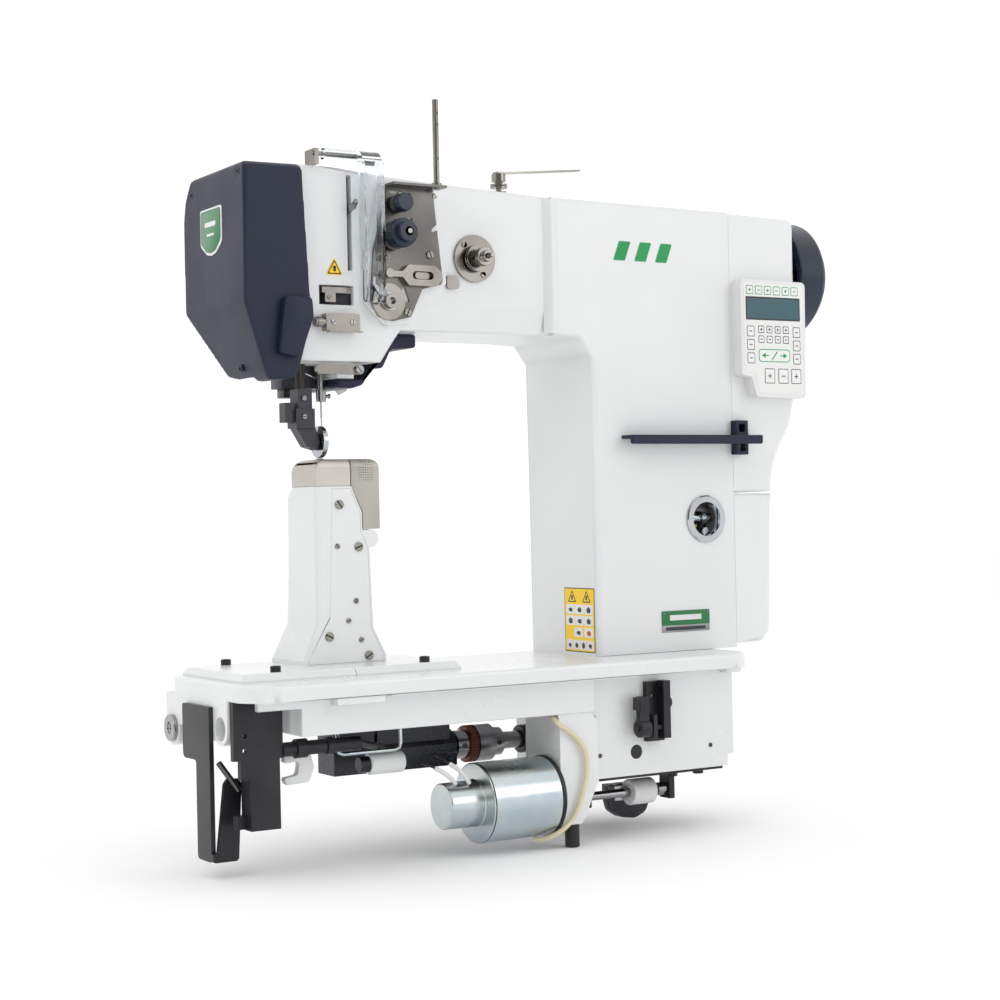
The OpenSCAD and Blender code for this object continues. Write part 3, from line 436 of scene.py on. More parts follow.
def screwTree():
    tree, given, output = newTree("screwHeads", [
        ("Radius", "float", 0.004), ("Height", "float", 0.0018), ("Chamfer", "float", 0.0005),
        ("Slot Width", "float", 0.001), ("Slot Depth", "float", 0.0009), ("Hex", "bool", False),
        ("Aim", "vector", (0, 0, 0)), ("Seed", "int", 1), ("Material", "material", None)])
    g = given.outputs
    straight = maths(tree, "SUBTRACT", g["Height"], g["Chamfer"])
    shank = addNode(tree, "GeometryNodeMeshCylinder",
                    {"Vertices": 32, "Radius": g["Radius"], "Depth": straight})
    lift = addNode(tree, "ShaderNodeCombineXYZ", {"Z": maths(tree, "MULTIPLY", straight, 0.5)})
    low = addNode(tree, "GeometryNodeTransform", {"Geometry": shank.outputs[0],
                                                  "Translation": lift.outputs[0]})
    dome = addNode(tree, "GeometryNodeMeshCone", {
        "Vertices": 32, "Radius Top": maths(tree, "SUBTRACT", g["Radius"], g["Chamfer"]),
        "Radius Bottom": g["Radius"], "Depth": g["Chamfer"]})
    raised = addNode(tree, "ShaderNodeCombineXYZ", {"Z": straight})
    high = addNode(tree, "GeometryNodeTransform",
                   {"Geometry": dome.outputs[0], "Translation": raised.outputs[0]})
    head = addNode(tree, "GeometryNodeMeshBoolean", {}, operation="UNION")
    tree.links.new(low.outputs[0], head.inputs["Mesh 2"])
    tree.links.new(high.outputs[0], head.inputs["Mesh 2"])
    size = addNode(tree, "ShaderNodeCombineXYZ", {
        "X": maths(tree, "MULTIPLY", g["Radius"], 2.4), "Y": g["Slot Width"],
        "Z": maths(tree, "MULTIPLY", g["Slot Depth"], 2)})
    bar = addNode(tree, "GeometryNodeMeshCube", {"Size": size.outputs[0]})
    socket = addNode(tree, "GeometryNodeMeshCylinder", {
        "Vertices": 6, "Radius": maths(tree, "MULTIPLY", g["Radius"], 0.55),
        "Depth": maths(tree, "MULTIPLY", g["Slot Depth"], 2)})
    chosen = addNode(tree, "GeometryNodeSwitch", {
        "Switch": g["Hex"], "False": bar.outputs[0], "True": socket.outputs[0]}, input_type="GEOMETRY")
    cutLift = addNode(tree, "ShaderNodeCombineXYZ", {"Z": g["Height"]})
    cutter = addNode(tree, "GeometryNodeTransform", {
        "Geometry": chosen.outputs[0], "Translation": cutLift.outputs[0]})
    cut = addNode(tree, "GeometryNodeMeshBoolean", {"Mesh 1": head.outputs[0]}, operation="DIFFERENCE")
    tree.links.new(cutter.outputs[0], cut.inputs["Mesh 2"])
    twist = addNode(tree, "FunctionNodeRandomValue", {"Seed": g["Seed"]}, data_type="FLOAT")
    twist.inputs[2].default_value, twist.inputs[3].default_value = 0.0, 3.14
    spin = addNode(tree, "ShaderNodeCombineXYZ", {"Z": twist.outputs[1]})
    turn = addNode(tree, "FunctionNodeRotateEuler", {"Rotation": g["Aim"], "Rotate By": spin.outputs[0]},
                   space="LOCAL")
    spread = addNode(tree, "GeometryNodeInstanceOnPoints", {
        "Points": g["Geometry"], "Instance": cut.outputs[0], "Rotation": turn.outputs[0]})
    finishTree(tree, output, spread.outputs[0], g["Material"])
    return tree


def holeTree():
    tree, given, output = newTree("holeGrid", [
        ("Centre", "vector", (0, 0, 0)), ("Width", "float", 0.01), ("Height", "float", 0.01),
        ("Columns", "int", 8), ("Rows", "int", 8), ("Hole Radius", "float", 0.0004),
        ("Depth", "float", 0.002), ("Material", "material", None)])
    g = given.outputs
    grid = addNode(tree, "GeometryNodeMeshGrid", {
        "Size X": g["Width"], "Size Y": g["Height"], "Vertices X": g["Columns"], "Vertices Y": g["Rows"]})
    placed = addNode(tree, "GeometryNodeTransform", {
        "Geometry": grid.outputs[0], "Translation": g["Centre"], "Rotation": (math.pi / 2, 0, 0)})
    drill = addNode(tree, "GeometryNodeMeshCylinder", {
        "Vertices": 10, "Radius": g["Hole Radius"], "Depth": g["Depth"]})
    spread = addNode(tree, "GeometryNodeInstanceOnPoints", {
        "Points": placed.outputs[0], "Instance": drill.outputs[0], "Rotation": (math.pi / 2, 0, 0)})
    real = addNode(tree, "GeometryNodeRealizeInstances", {"Geometry": spread.outputs[0]})
    cut = addNode(tree, "GeometryNodeMeshBoolean", {"Mesh 1": g["Geometry"]}, operation="DIFFERENCE")
    tree.links.new(real.outputs[0], cut.inputs["Mesh 2"])
    finishTree(tree, output, cut.outputs[0], g["Material"])
    return tree


def ribTree():
    tree, given, output = newTree("ribRing", [
        ("Centre", "vector", (0, 0, 0)), ("Aim", "vector", (0, 0, 0)), ("Radius", "float", 0.01),
        ("Count", "int", 24), ("Rib Radius", "float", 0.0008), ("Length", "float", 0.01),
        ("Material", "material", None)])
    g = given.outputs
    ring = addNode(tree, "GeometryNodeMeshCircle", {"Vertices": g["Count"], "Radius": g["Radius"]})
    rib = addNode(tree, "GeometryNodeMeshCylinder",
                  {"Vertices": 10, "Radius": g["Rib Radius"], "Depth": g["Length"]})
    spread = addNode(tree, "GeometryNodeInstanceOnPoints",
                     {"Points": ring.outputs[0], "Instance": rib.outputs[0]})
    placed = addNode(tree, "GeometryNodeTransform", {
        "Geometry": spread.outputs[0], "Translation": g["Centre"], "Rotation": g["Aim"]})
    both = addNode(tree, "GeometryNodeJoinGeometry")
    tree.links.new(placed.outputs[0], both.inputs[0])
    tree.links.new(g["Geometry"], both.inputs[0])
    finishTree(tree, output, both.outputs[0], g["Material"])
    return tree


def coilTree():
    tree, given, output = newTree("coilSpring", [
        ("Centre", "vector", (0, 0, 0)), ("Aim", "vector", (0, 0, 0)), ("Start Radius", "float", 0.005),
        ("End Radius", "float", 0.004), ("Turns", "float", 4.0), ("Length", "float", 0.008),
        ("Wire", "float", 0.0005), ("Material", "material", None)])
    g = given.outputs
    spiral = addNode(tree, "GeometryNodeCurveSpiral", {
        "Resolution": 24, "Rotations": g["Turns"], "Start Radius": g["Start Radius"],
        "End Radius": g["End Radius"], "Height": g["Length"]})
    wire = addNode(tree, "GeometryNodeCurvePrimitiveCircle", {"Resolution": 8, "Radius": g["Wire"]})
    swept = addNode(tree, "GeometryNodeCurveToMesh", {
        "Curve": spiral.outputs[0], "Profile Curve": wire.outputs[0], "Fill Caps": True})
    placed = addNode(tree, "GeometryNodeTransform", {
        "Geometry": swept.outputs[0], "Translation": g["Centre"], "Rotation": g["Aim"]})
    finishTree(tree, output, placed.outputs[0], g["Material"])
    return tree


trees = {"screw": screwTree(), "holes": holeTree(), "ribs": ribTree(), "coil": coilTree()}


def grown(tree, mesh, values):
    holder = holderOf(mesh)
    modifier = holder.modifiers.new("grow", "NODES")
    sockets = [item for item in trees[tree].interface.items_tree
               if item.item_type == "SOCKET" and item.in_out == "INPUT" and item.name in values]
    for item in sockets:
        item.default_value = values[item.name]
    modifier.node_group = trees[tree]
    for item in sockets:
        modifier[item.identifier] = values[item.name]
    return baked(holder)


def pointMesh(points):
    mesh = bpy.data.meshes.new("points")
    mesh.from_pydata([at(*p) for p in points], [], [])
    return mesh


forward = (math.pi / 2, 0, 0)


def screwMesh(points, radius, finish, aim=forward, height=0.45, hexed=False, seed=1):
    return grown("screw", pointMesh(points), {
        "Radius": radius / 1000, "Height": radius * height / 1000, "Chamfer": radius * 0.13 / 1000,
        "Slot Width": radius * 0.26 / 1000, "Slot Depth": radius * 0.24 / 1000, "Hex": hexed,
        "Aim": aim, "Seed": seed, "Material": finishes[finish]})


def screws(name, body, finish, points, radius, aim=forward, height=0.45, hexed=False, seed=1):
    return settle(screwMesh(points, radius, finish, aim, height, hexed, seed), name, body, finish)


print("trees:", len(trees))


# ---- CAD nodes with soft edges and their finishes

softParts = {
    "insert_plates": ("bedEnamel", 0.8, 2), "post_cover": ("enamel", 0.7, 2), "hook": ("steel", 0.5, 2),
    "hook_shaft": ("steel", 0.5, 2), "lower_shaft": ("steel", 0.6, 2),
    "lower_pulley": ("darkSteel", 0.6, 2), "coupling_disc": ("steel", 1.0, 2),
    "shaft_bush": ("blackOxide", 1.2, 2),
    "shaft_housing": ("blackCast", 2.0, 3), "timing_belt": ("rubber", 0.4, 1),
    "under_cover": ("navyPlastic", 2.5, 3),
    "top_cover": ("cleanEnamel", 0.9, 2), "take_up_lever": ("steel", 0.5, 2),
    "thread_plate": ("plateNickel", 0.45, 2),
    "tension_discs": ("nickel", 0.4, 2), "pre_tension_nut": ("nickel", 0.6, 2),
    "check_spring": ("steel", 0.2, 1),
    "thread_guides": ("nickel", 0.6, 2), "thread_pin": ("nickel", 0.4, 2),
    "hand_rest": ("navyPlastic", 0.9, 2),
    "upper_shaft": ("steel", 0.6, 2), "upper_pulley": ("darkSteel", 0.6, 2), "motor": ("blackOxide", 2.0, 2),
    "needle_bar": ("steel", 0.4, 2), "needle": ("polished", 0.05, 1), "presser_bar": ("darkSteel", 0.5, 2),
    "foot_holder": ("blackCast", 1.5, 3), "roller": ("polished", 0.5, 3), "feed_wheel": ("steel", 0.08, 1),
    "drive_box": ("bedEnamel", 1.6, 2), "box_cover": ("blackOxide", 1.0, 2),
    "latch_bracket": ("blackOxide", 0.9, 2),
    "latch_lever": ("blackOxide", 1.1, 2), "hinge_plug": ("steel", 0.8, 2),
    "hanger_bracket": ("blackOxide", 0.9, 2),
    "channel_bracket": ("blackOxide", 1.0, 2), "plunger": ("polished", 1.0, 2),
    "solenoid_bracket": ("cleanEnamel", 1.6, 3), "rubber_peg": ("rubber", 1.2, 3),
    "rock_shaft": ("steel", 0.8, 2),
    "nylon_roller": ("nylon", 1.2, 3), "lifter_lever": ("steel", 1.2, 2), "eye_guard": ("clear", 0.6, 2),
    "control_panel": ("panel", 1.6, 3), "solenoid": ("zinc", 1.8, 3),
}
for node, (finish, width, segments) in softParts.items():
    softNode(node, finish, width, segments)
print("soft parts:", len(softParts))


def graded(node, finish, sizes, segments=4):
    work = cadCopy(node)
    weight = weightLayer(work)
    widest = max(size for size, _ in sizes)
    for edge in work.edges:
        if not edge.is_manifold or edge.calc_face_angle(0) <= math.radians(sharpTurn):
            continue
        middle = (edge.verts[0].co + edge.verts[1].co) * 500
        spot = Vector((middle.x + originX, middle.y + originY, middle.z + originZ))
        span = (edge.verts[0].co - edge.verts[1].co) * 1000
        for size, test in sizes:
            if test(spot, span):
                edge[weight] = size / widest
                break
    mesh = bpy.data.meshes.new(node)
    work.to_mesh(mesh)
    work.free()
    mesh = bevelled(mesh, widest, segments, False)
    return settle(mesh, "soft_" + node, frame["nodes"][node]["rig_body"], finish, (node,), 0)


def rounded(node, grid, rounds, keep):
    work = cadCopy(node)
    mesh = bpy.data.meshes.new(node)
    work.to_mesh(mesh)
    work.free()
    holder = holderOf(mesh)
    cells = holder.modifiers.new("cells", "REMESH")
    cells.mode, cells.voxel_size, cells.adaptivity = "VOXEL", grid / 1000, 0
    relax = holder.modifiers.new("relax", "SMOOTH")
    relax.factor, relax.iterations = 0.5, rounds
    holder.modifiers.new("thin", "DECIMATE").ratio = keep
    return baked(holder)


def moulded(node, finish, grid, rounds, keep):
    body = frame["nodes"][node]["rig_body"]
    return settle(rounded(node, grid, rounds, keep), "soft_" + node, body, finish, (node,), 70)


moulded("face_cover", "navyPlastic", 1.3, 9, 0.5)
moulded("post_cap", "capNickel", 0.6, 9, 0.6)


def bedRim(p, s):
    return p.z > -1 and s.length > 6 and (p.y < 40 or p.y > 160 or p.x < 60 or p.x > 495)


def armLip(p, s):
    return s.length > 14 and p.y < 72 and p.x > 84 and 264 < p.z < 300 and abs(p.x - 340) > 2


def wheelRim(p, s):
    return (p.y - 118) ** 2 + (p.z - 365) ** 2 > 2300


castings = {      # each casting's edge radii, with the test that picks the edges
    "bed": ("bedEnamel", [(3.0, bedRim),
                          (1.2, lambda p, s: s.length > 9)]),
    "post": ("enamel", [(5.0, lambda p, s: abs(s.z) > 50 and (p.y > 140 or p.x < 112) and p.z < 158),
                        (1.6, lambda p, s: abs(s.z) > 10 and (p.y > 140 or p.x < 112) and p.z < 158),
                        (1.5, lambda p, s: s.length > 10 and p.y > 137)]),
    "arm": ("enamel", [(7.0, lambda p, s: abs(p.x - 380) < 1 and p.y < 64 and abs(s.z) > 60),
                       (3.5, lambda p, s: s.length > 40 and p.y < 72 and p.z > 410 and abs(s.z) < 20),
                       (4.0, lambda p, s: s.length > 25 and p.y > 168),
                       (3.0, armLip),
                       (0.5, lambda p, s: s.length > 3 and p.y < 64 and abs(p.x - 340) > 2 and p.x < 542)]),
    "upper_side_cover": ("cleanEnamel", [(6.0, lambda p, s: (p.y < 64 or p.y > 176) and p.x > 560)]),
    "lower_side_cover": ("cleanEnamel", [(6.0, lambda p, s: (p.y < 64 or p.y > 176) and p.x > 560)]),
    "handwheel": ("navyPaint", [(4.5, lambda p, s: p.x > 660 and wheelRim(p, s)),
                                (1.2, wheelRim)]),
}
for node, (finish, sizes) in castings.items():
    graded(node, finish, sizes)
ridge = {"plan": [(331, 68.3), (338.5, 62.9), (345.5, 62.9), (345.5, 66)], "z": (298, 421.6)}
slab("armRidge", "head", "enamel", ridge["plan"], "xy", *ridge["z"], soft=0.8)
print("castings:", len(castings))


# ---- Head end

shield = {"y": (99, 144), "z": (360, 401), "x": 29.3, "lift": 1.0, "border": 1.8}


def shieldShape(inset):
    y0, y1 = shield["y"][0] + inset, shield["y"][1] - inset
    z0, z1 = shield["z"][0] + inset * 1.2, shield["z"][1] - inset
    middle = (y0 + y1) / 2
    return outline([(y0, z1), (y1, z1), (y1, z0 + 10), (middle + 9, z0 + 1.5), (middle, z0),
                    (middle - 9, z0 + 1.5), (y0, z0 + 10)], [3, 3, 6, 6, 6, 6, 6])


slab("shieldEdge", "head", "whiteInk", shieldShape(0), "yz", shield["x"] - shield["lift"] * 0.5,
     shield["x"] + 2, 0.2)
slab("shieldFace", "head", "greenInk", shieldShape(shield["border"]), "yz", shield["x"] - shield["lift"],
     shield["x"], 0.2)
slab("shieldBar", "head", "whiteInk", rectangle(110, 133, 385, 389), "yz",
     shield["x"] - shield["lift"] - 0.15, shield["x"], radii=1.5)
slab("shieldDash", "head", "whiteInk", rectangle(114, 129, 377, 379), "yz",
     shield["x"] - shield["lift"] - 0.15, shield["x"], radii=0.8)

bulge = {"outer": [(63, 320), (60, 300), (57, 272), (76, 268), (89, 303), (88, 320)], "y": (47.0, 56),
         "soft": 3.6}
slab("coverBulge", "head", "navyPlastic", bulge["outer"], "xz", *bulge["y"], soft=bulge["soft"],
     radii=[5, 2, 4, 5, 4, 5])

coverScrews = [(31.5, 66, 424), (31.5, 165, 418), (44.5, 98, 262)]
settle(screwMesh(coverScrews, 3.6, "blackOxide", (0, -math.pi / 2, 0), hexed=True,
                 seed=3), "coverScrews", "head", "blackOxide")

slab("warningTriangle", "head", "yellowInk", [(110.5, 341.5), (127, 341.5), (119, 357)], "xz", 67.7, 68.05,
     radii=1.4)
slab("warningFrame", "head", "greyInk", [(111.8, 342.4), (125.6, 342.4), (119, 355)], "xz", 67.6, 67.7,
     radii=1.0)
slab("warningInner", "head", "yellowInk", [(113.4, 343.4), (124.1, 343.4), (119, 353)], "xz", 67.5, 67.6,
     radii=0.8)
slab("warningMark", "head", "greyInk", [(118, 344.6), (120, 344.6), (120.6, 349.4), (117.4, 349.4)], "xz",
     67.4, 67.5)

# a thin black sheet at the back of the thread slot: painted shade for the slot's depth
slotPaintedShade = {"x": (132.2, 136.3), "z": (347, 427)}
slab("slotPaintedShade", "head", "blackOxide", rectangle(*slotPaintedShade["x"], *slotPaintedShade["z"]), "xz", 75.2, 76)
# a thin black sheet at the back of the recess: painted shade inside the recess
slab("recessPaintedShade", "head", "blackOxide", rectangle(104.3, 136.7, 316.3, 332.7), "xz", 72.6, 73)

# headShade is a black block in the head's open bottom: painted shade for the shadowed underside
slab("headShade", "head", "blackCast", rectangle(95, 134, 128, 150), "xy", 248, 268.2, 1.0)
slab("headShadeFoot", "head", "darkSteel", rectangle(99, 120, 132, 146), "xy", 240, 248.2, 1.0)
tube("shadeRod", "head", "polished", [(116, 127, 262), (133, 127, 256)], 1.2, smooth=False)

knobs = {
    "main_knob": {"x": 171, "z": 377, "body": "main_nut", "finish": "navyPaint", "count": 26, "rib": 0.75,
                  "profile": [(4, 27.6), (8.2, 27.6), (9, 28.4), (9, 35.2), (11.6, 35.6), (12.3, 36.4),
                              (12.3, 48.6), (11.6, 49.4), (4, 49.4)],
                  "rings": (11.9, 42.5, 11)},
    "small_knob": {"x": 175, "z": 404, "body": "small_nut", "finish": "navyPaint", "count": 20, "rib": 0.6,
                   "profile": [(2.4, 39.6), (6.9, 39.6), (7.7, 40.4), (7.7, 48.7), (7.1, 49.4), (2.4, 49.4)],
                   "rings": (7.4, 44.5, 8)},
}
for node, knob in knobs.items():
    profile = [(r, y - knob["profile"][0][1]) for r, y in knob["profile"]]
    mesh = turnedMesh(profile, "y", (knob["x"], knob["profile"][0][1], knob["z"]))
    ring, middle, length = knob["rings"]
    mesh = grown("ribs", mesh, {"Centre": at(knob["x"], middle, knob["z"]), "Aim": forward,
                                "Radius": ring / 1000, "Count": knob["count"],
                                "Rib Radius": knob["rib"] / 1000, "Length": length / 1000,
                                "Material": finishes[knob["finish"]]})
    settle(mesh, "soft_" + node, knob["body"], knob["finish"], (node,))

springs = [
    {"name": "preSpring", "body": "head", "centre": (258, 52.5, 362), "start": 5.5, "end": 4.2, "turns": 4.0,
     "length": 5.4, "wire": 0.55},
    {"name": "winderSpring", "body": "head", "centre": (296, 84, 433.8), "start": 3.4, "end": 3.2,
     "turns": 3.0, "length": 2.6, "wire": 0.4,
     "aim": (0, 0, 0)},
]
for spring in springs:
    mesh = grown("coil", pointMesh([(0, 0, 0)]), {
        "Centre": at(*spring["centre"]), "Aim": spring.get("aim", (-math.pi / 2, 0, 0)),
        "Start Radius": spring["start"] / 1000,
        "End Radius": spring["end"] / 1000, "Turns": spring["turns"], "Length": spring["length"] / 1000,
        "Wire": spring["wire"] / 1000, "Material": finishes["steel"]})
    settle(mesh, spring["name"], spring["body"], "steel", angle=60)

ball = {"centre": (160.6, 54, 357), "radius": 2.8}
ballProfile = [(0.2, -ball["radius"])] + [
    (ball["radius"] * math.sin(math.radians(a)), -ball["radius"] * math.cos(math.radians(a)))
    for a in range(20, 180, 16)] + [(0.2, ball["radius"])]
ballMesh = turnedMesh(ballProfile, "y", ball["centre"], 32)
postScrews = {"large": [(130, 90, 145), (148, 90, 108), (118, 90, 31), (156, 90, 13)],
              "small": [(127.5, 90, 109), (144.5, 90, 61), (137, 90, 44), (149, 90, 27)],
              "plate": [(208, 58.8, 362), (184.6, 58.8, 311)]}
nickelMesh = merged([screwMesh(postScrews["large"], 4, "nickel", seed=4),
                     screwMesh(postScrews["small"], 2.4, "nickel", seed=7),
                     screwMesh(postScrews["plate"], 3.6, "nickel", seed=11), ballMesh])
settle(nickelMesh, "nickelScrews", "head", "nickel", ("nickel_screws",))
bedScrews = {"places": [(50, 55, 7), (50, 157, 7), (192, 55, 7), (198, 157, 7)], "radius": 4.5}
settle(screwMesh(bedScrews["places"], bedScrews["radius"], "blackOxide", (0, 0, 0), 1.1, True, 5),
       "bedScrews", "head",
       "blackOxide", ("black_screws",))

# Small hardware of the thread path and the foot
screws("plateSmall", "head", "nickel", [(179, 58.8, 413), (214, 58.8, 414)], 2.2, seed=21)
screws("discScrew", "head", "nickel", [(247, 65, 374), (266, 65, 348)], 2.6, seed=22)
screws("guideScrews", "head", "nickel", [(112, 64.5, 322), (132, 66.2, 329)], 2.0, seed=23)
screws("blockScrews", "head", "steel", [(113, 59, 300.5), (131, 59, 300.5)], 2.4, seed=24)
screws("lowerGuideScrew", "head", "steel", [(144, 74, 261.7)], 3.2, seed=25)
screws("clampScrew", "needle_unit", "steel", [(137, 120, 241)], 2.4, aim=(0, math.pi / 2, 0), seed=26)
screws("holderScrews", "presser_unit", "steel", [(104, 101, 238), (104, 101, 222)], 2.3, seed=27)
print("head end done")


# ---- Hook cover with its perforations

perforation = {"centre": (156.5, 91, 174), "width": 13, "height": 15.4, "columns": 7, "rows": 8,
               "radius": 0.42, "depth": 5}
coverMesh = grown("holes", rounded("hook_cover", 0.6, 9, 0.6), {
    "Centre": at(*perforation["centre"]), "Width": perforation["width"] / 1000,
    "Height": perforation["height"] / 1000,
    "Columns": perforation["columns"], "Rows": perforation["rows"],
    "Hole Radius": perforation["radius"] / 1000,
    "Depth": perforation["depth"] / 1000, "Material": finishes["satinNickel"]})
settle(coverMesh, "soft_hook_cover", "post_door", "satinNickel", ("hook_cover",))


# ---- Labels, panel and window

markBars = {"x": 407, "z": (368, 386), "width": 13, "step": 24, "lean": 7, "count": 3}
for i in range(markBars["count"]):
    x = markBars["x"] + i * markBars["step"]
    z0, z1 = markBars["z"]
    slab(f"markBar{i}", "head", "brightGreen", [(x, z0), (x + markBars["width"], z0),
                                                (x + markBars["width"] + markBars["lean"], z1),
                                                (x + markBars["lean"], z1)], "xz", 63.25, 63.62, radii=1.2)

plate = {"x": (453.6, 510), "z": (18.4, 38.6), "split": 24.8}
slab("plateGreen", "head", "greenInk", rectangle(*plate["x"], plate["split"], plate["z"][1]), "xz", 62.9,
     63.62, 0.2, radii=0.8)
slab("plateGrey", "head", "steel", rectangle(*plate["x"], plate["z"][0], plate["split"]), "xz", 62.95, 63.62,
     0.2, radii=0.6)
slab("plateField", "head", "whiteInk", rectangle(463, 500, 29.5, 34.5), "xz", 62.8, 62.92, radii=0.6)
slab("plateStrip", "head", "greyInk", rectangle(458, 505, 20, 23.2), "xz", 62.85, 62.97, radii=0.4)
screws("plateRivets", "head", "steel", [(456.2, 62.9, 36.4), (507.4, 62.9, 36.4), (456.2, 62.9, 20.4),
                                        (507.4, 62.9, 20.4)], 0.9, seed=31)

sticker = {"y": (67, 117), "z": (3, 63), "x": 379.85}


def stickerPatch(y0, y1, z0, z1, level, radius=0.6):
    x = sticker["x"] - 0.06 * level
    return slabMesh(outline(rectangle(y0, y1, z0, z1), radius), "yz", x, sticker["x"] + 0.2)


def joined(name, finish, meshes):
    return settle(merged(meshes), name, "head", finish)


y0, y1 = sticker["y"]
joined("stickerFrame", "greyInk", [stickerPatch(y0, y1, *sticker["z"], 1, 1.5)])
joined("stickerBase", "yellowInk", [stickerPatch(y0 + 0.9, y1 - 0.9, sticker["z"][0] + 0.9,
                                                 sticker["z"][1] - 0.9, 2, 1.2)])
boxes, marks, reds = [], [], []
for row, (z, count) in enumerate([(38.5, 3), (28, 3), (17, 2), (5.2, 4)]):
    width = (y1 - y0 - 5) / (3 if count == 2 else count)
    for i in range(count):
        a = y0 + 2.5 + i * width * (1.15 if count == 2 else 1)
        boxes.append(stickerPatch(a + 0.4, a + width - 0.4, z, z + 9, 3))
        tilt = ((row * 3 + i) * 37) % 5
        shape = [(a + width * 0.3, z + 1.6), (a + width * 0.62, z + 1.2 + tilt * 0.3),
                 (a + width * 0.75, z + 4.5),
                 (a + width * 0.5, z + 7.4 - tilt * 0.4), (a + width * 0.26, z + 5)]
        (reds if row == 2 and i == 0 else marks).append(slabMesh(outline(shape, 1), "yz",
                                                                 sticker["x"] - 0.24, sticker["x"]))
for middle in (y0 + 13, y1 - 13):
    marks.append(slabMesh(outline([(middle - 7, 49.5), (middle + 7, 49.5), (middle, 61)], 1), "yz",
                          sticker["x"] - 0.18, sticker["x"]))
joined("stickerBoxes", "whiteInk", boxes)
joined("stickerMarks", "greyInk", marks)
joined("stickerReds", "redInk", reds)
joined("stickerCores", "yellowInk", [slabMesh(outline([(m - 5, 50.6), (m + 5, 50.6), (m, 58.8)], 0.6), "yz",
                                              sticker["x"] - 0.24, sticker["x"])
                                     for m in (y0 + 13, y1 - 13)])
joined("stickerSigns", "greyInk", [slabMesh(outline([(m - 1.2, 51.6), (m + 1.2, 51.6), (m + 1.5, 56),
                                                     (m - 1.5, 56)], 0.4), "yz",
                                            sticker["x"] - 0.3, sticker["x"]) for m in (y0 + 13, y1 - 13)])

panel = {"face": 50.0, "screen": (553, 617.5, 317.5, 337), "line": 0.7}
overlayShape = outline([(549.5, 266), (562, 266), (567.5, 245), (621.5, 244), (622.8, 351), (549.5, 352)],
                       [2, 3, 3, 3, 3, 3])
overlayWork = slabMesh(overlayShape, "xz", panel["face"] - 0.3, panel["face"] + 0.05, 0.1)
settle(overlayWork, "panelOverlay", "head", "overlay")
slab("screenFrame", "head", "greyInk", rectangle(551.6, 619, 316, 338.6), "xz", panel["face"] - 0.42,
     panel["face"] - 0.2, radii=1.2)
slab("screenGlass", "head", "screen", rectangle(*panel["screen"]), "xz", panel["face"] - 0.5,
     panel["face"] - 0.3, radii=0.8)
keys = {
    "top": {"places": [(552.4 + i * 11.1, 345) for i in range(6)], "size": (8.8, 8.6), "ink": "brightGreen",
            "fill": "overlay"},
    "left": {"places": [(552.6, z) for z in (305, 292, 279)], "size": (9.2, 10.4), "ink": "greyInk",
             "fill": "overlay"},
    "right": {"places": [(609.6, z) for z in (305, 292, 279)], "size": (9.2, 10.4), "ink": "greyInk",
              "fill": "overlay"},
    "grid": {"places": [(566.6 + i * 10.2, z) for i in range(4) for z in (307, 297.4)], "size": (7.2, 7.2),
             "ink": "greyInk",
             "fill": "overlay"},
    "large": {"places": [(573.6, 262), (590.4, 262), (606.6, 262)], "size": (12.4, 14.5), "ink": "greyInk",
              "fill": "overlay"},
}
for name, group in keys.items():
    frames, faces, signs = [], [], []
    for i, (x, z) in enumerate(group["places"]):
        w, h = group["size"]
        frames.append(slabMesh(outline(rectangle(x, x + w, z - h / 2, z + h / 2), 1.2), "xz",
                               panel["face"] - 0.4, panel["face"]))
        line = panel["line"]
        faces.append(slabMesh(outline(rectangle(x + line, x + w - line, z - h / 2 + line, z + h / 2 - line),
                                      0.8), "xz",
                              panel["face"] - 0.5, panel["face"]))
        reach = min(w, h) * 0.2
        signs.append(slabMesh(rectangle(x + w / 2 - reach, x + w / 2 + reach, z - 0.45, z + 0.45), "xz",
                              panel["face"] - 0.56, panel["face"]))
        if name in ("grid", "large", "top") and i % 2 == 0:
            signs.append(slabMesh(rectangle(x + w / 2 - 0.45, x + w / 2 + 0.45, z - reach, z + reach), "xz",
                                  panel["face"] - 0.58, panel["face"]))
    joined(name + "KeyFrames", group["ink"], frames)
    joined(name + "KeyFaces", group["fill"], faces)
    joined(name + "KeySigns", group["ink"], signs)
loopShape = outline(rectangle(566.5, 605.5, 275.5, 288), 4)
slab("loopFrame", "head", "brightGreen", loopShape, "xz", panel["face"] - 0.4, panel["face"])
slab("loopFace", "head", "overlay", outline(rectangle(567.3, 604.7, 276.3, 287.2), 3.4), "xz",
     panel["face"] - 0.5, panel["face"])
joined("loopSigns", "brightGreen", [slabMesh(outline(shape, 0.3), "xz", panel["face"] - 0.58,
                                             panel["face"]) for shape in (
    [(570, 281.8), (575, 284.4), (575, 279.2)], [(602, 281.8), (597, 284.4), (597, 279.2)],
    rectangle(575, 579, 281.3, 282.3),
    rectangle(593, 597, 281.3, 282.3), [(582, 277.5), (589, 286.2), (590, 285.4), (583, 276.9)])])
screws("panelDots", "head", "panel", [(549, 50.2, 352.5), (623, 50.2, 243.6)], 0.8, seed=33)

window = {"x": 508, "z": 124.7}
turned("windowRing", "head", "polished", [(16.2, 0), (21.6, 0), (22.5, 0.8), (22.5, 2.5), (17.9, 2.6),
                                          (17.9, 5.4), (16.2, 5.4)],
       "y", (window["x"], 61.1, window["z"]), 64, ("oil_window",))
turned("windowGlass", "head", "window", [(0.5, 0), (16.1, 0), (16.1, 1.6), (0.5, 1.6)], "y",
       (window["x"], 62.6, window["z"]), 64)
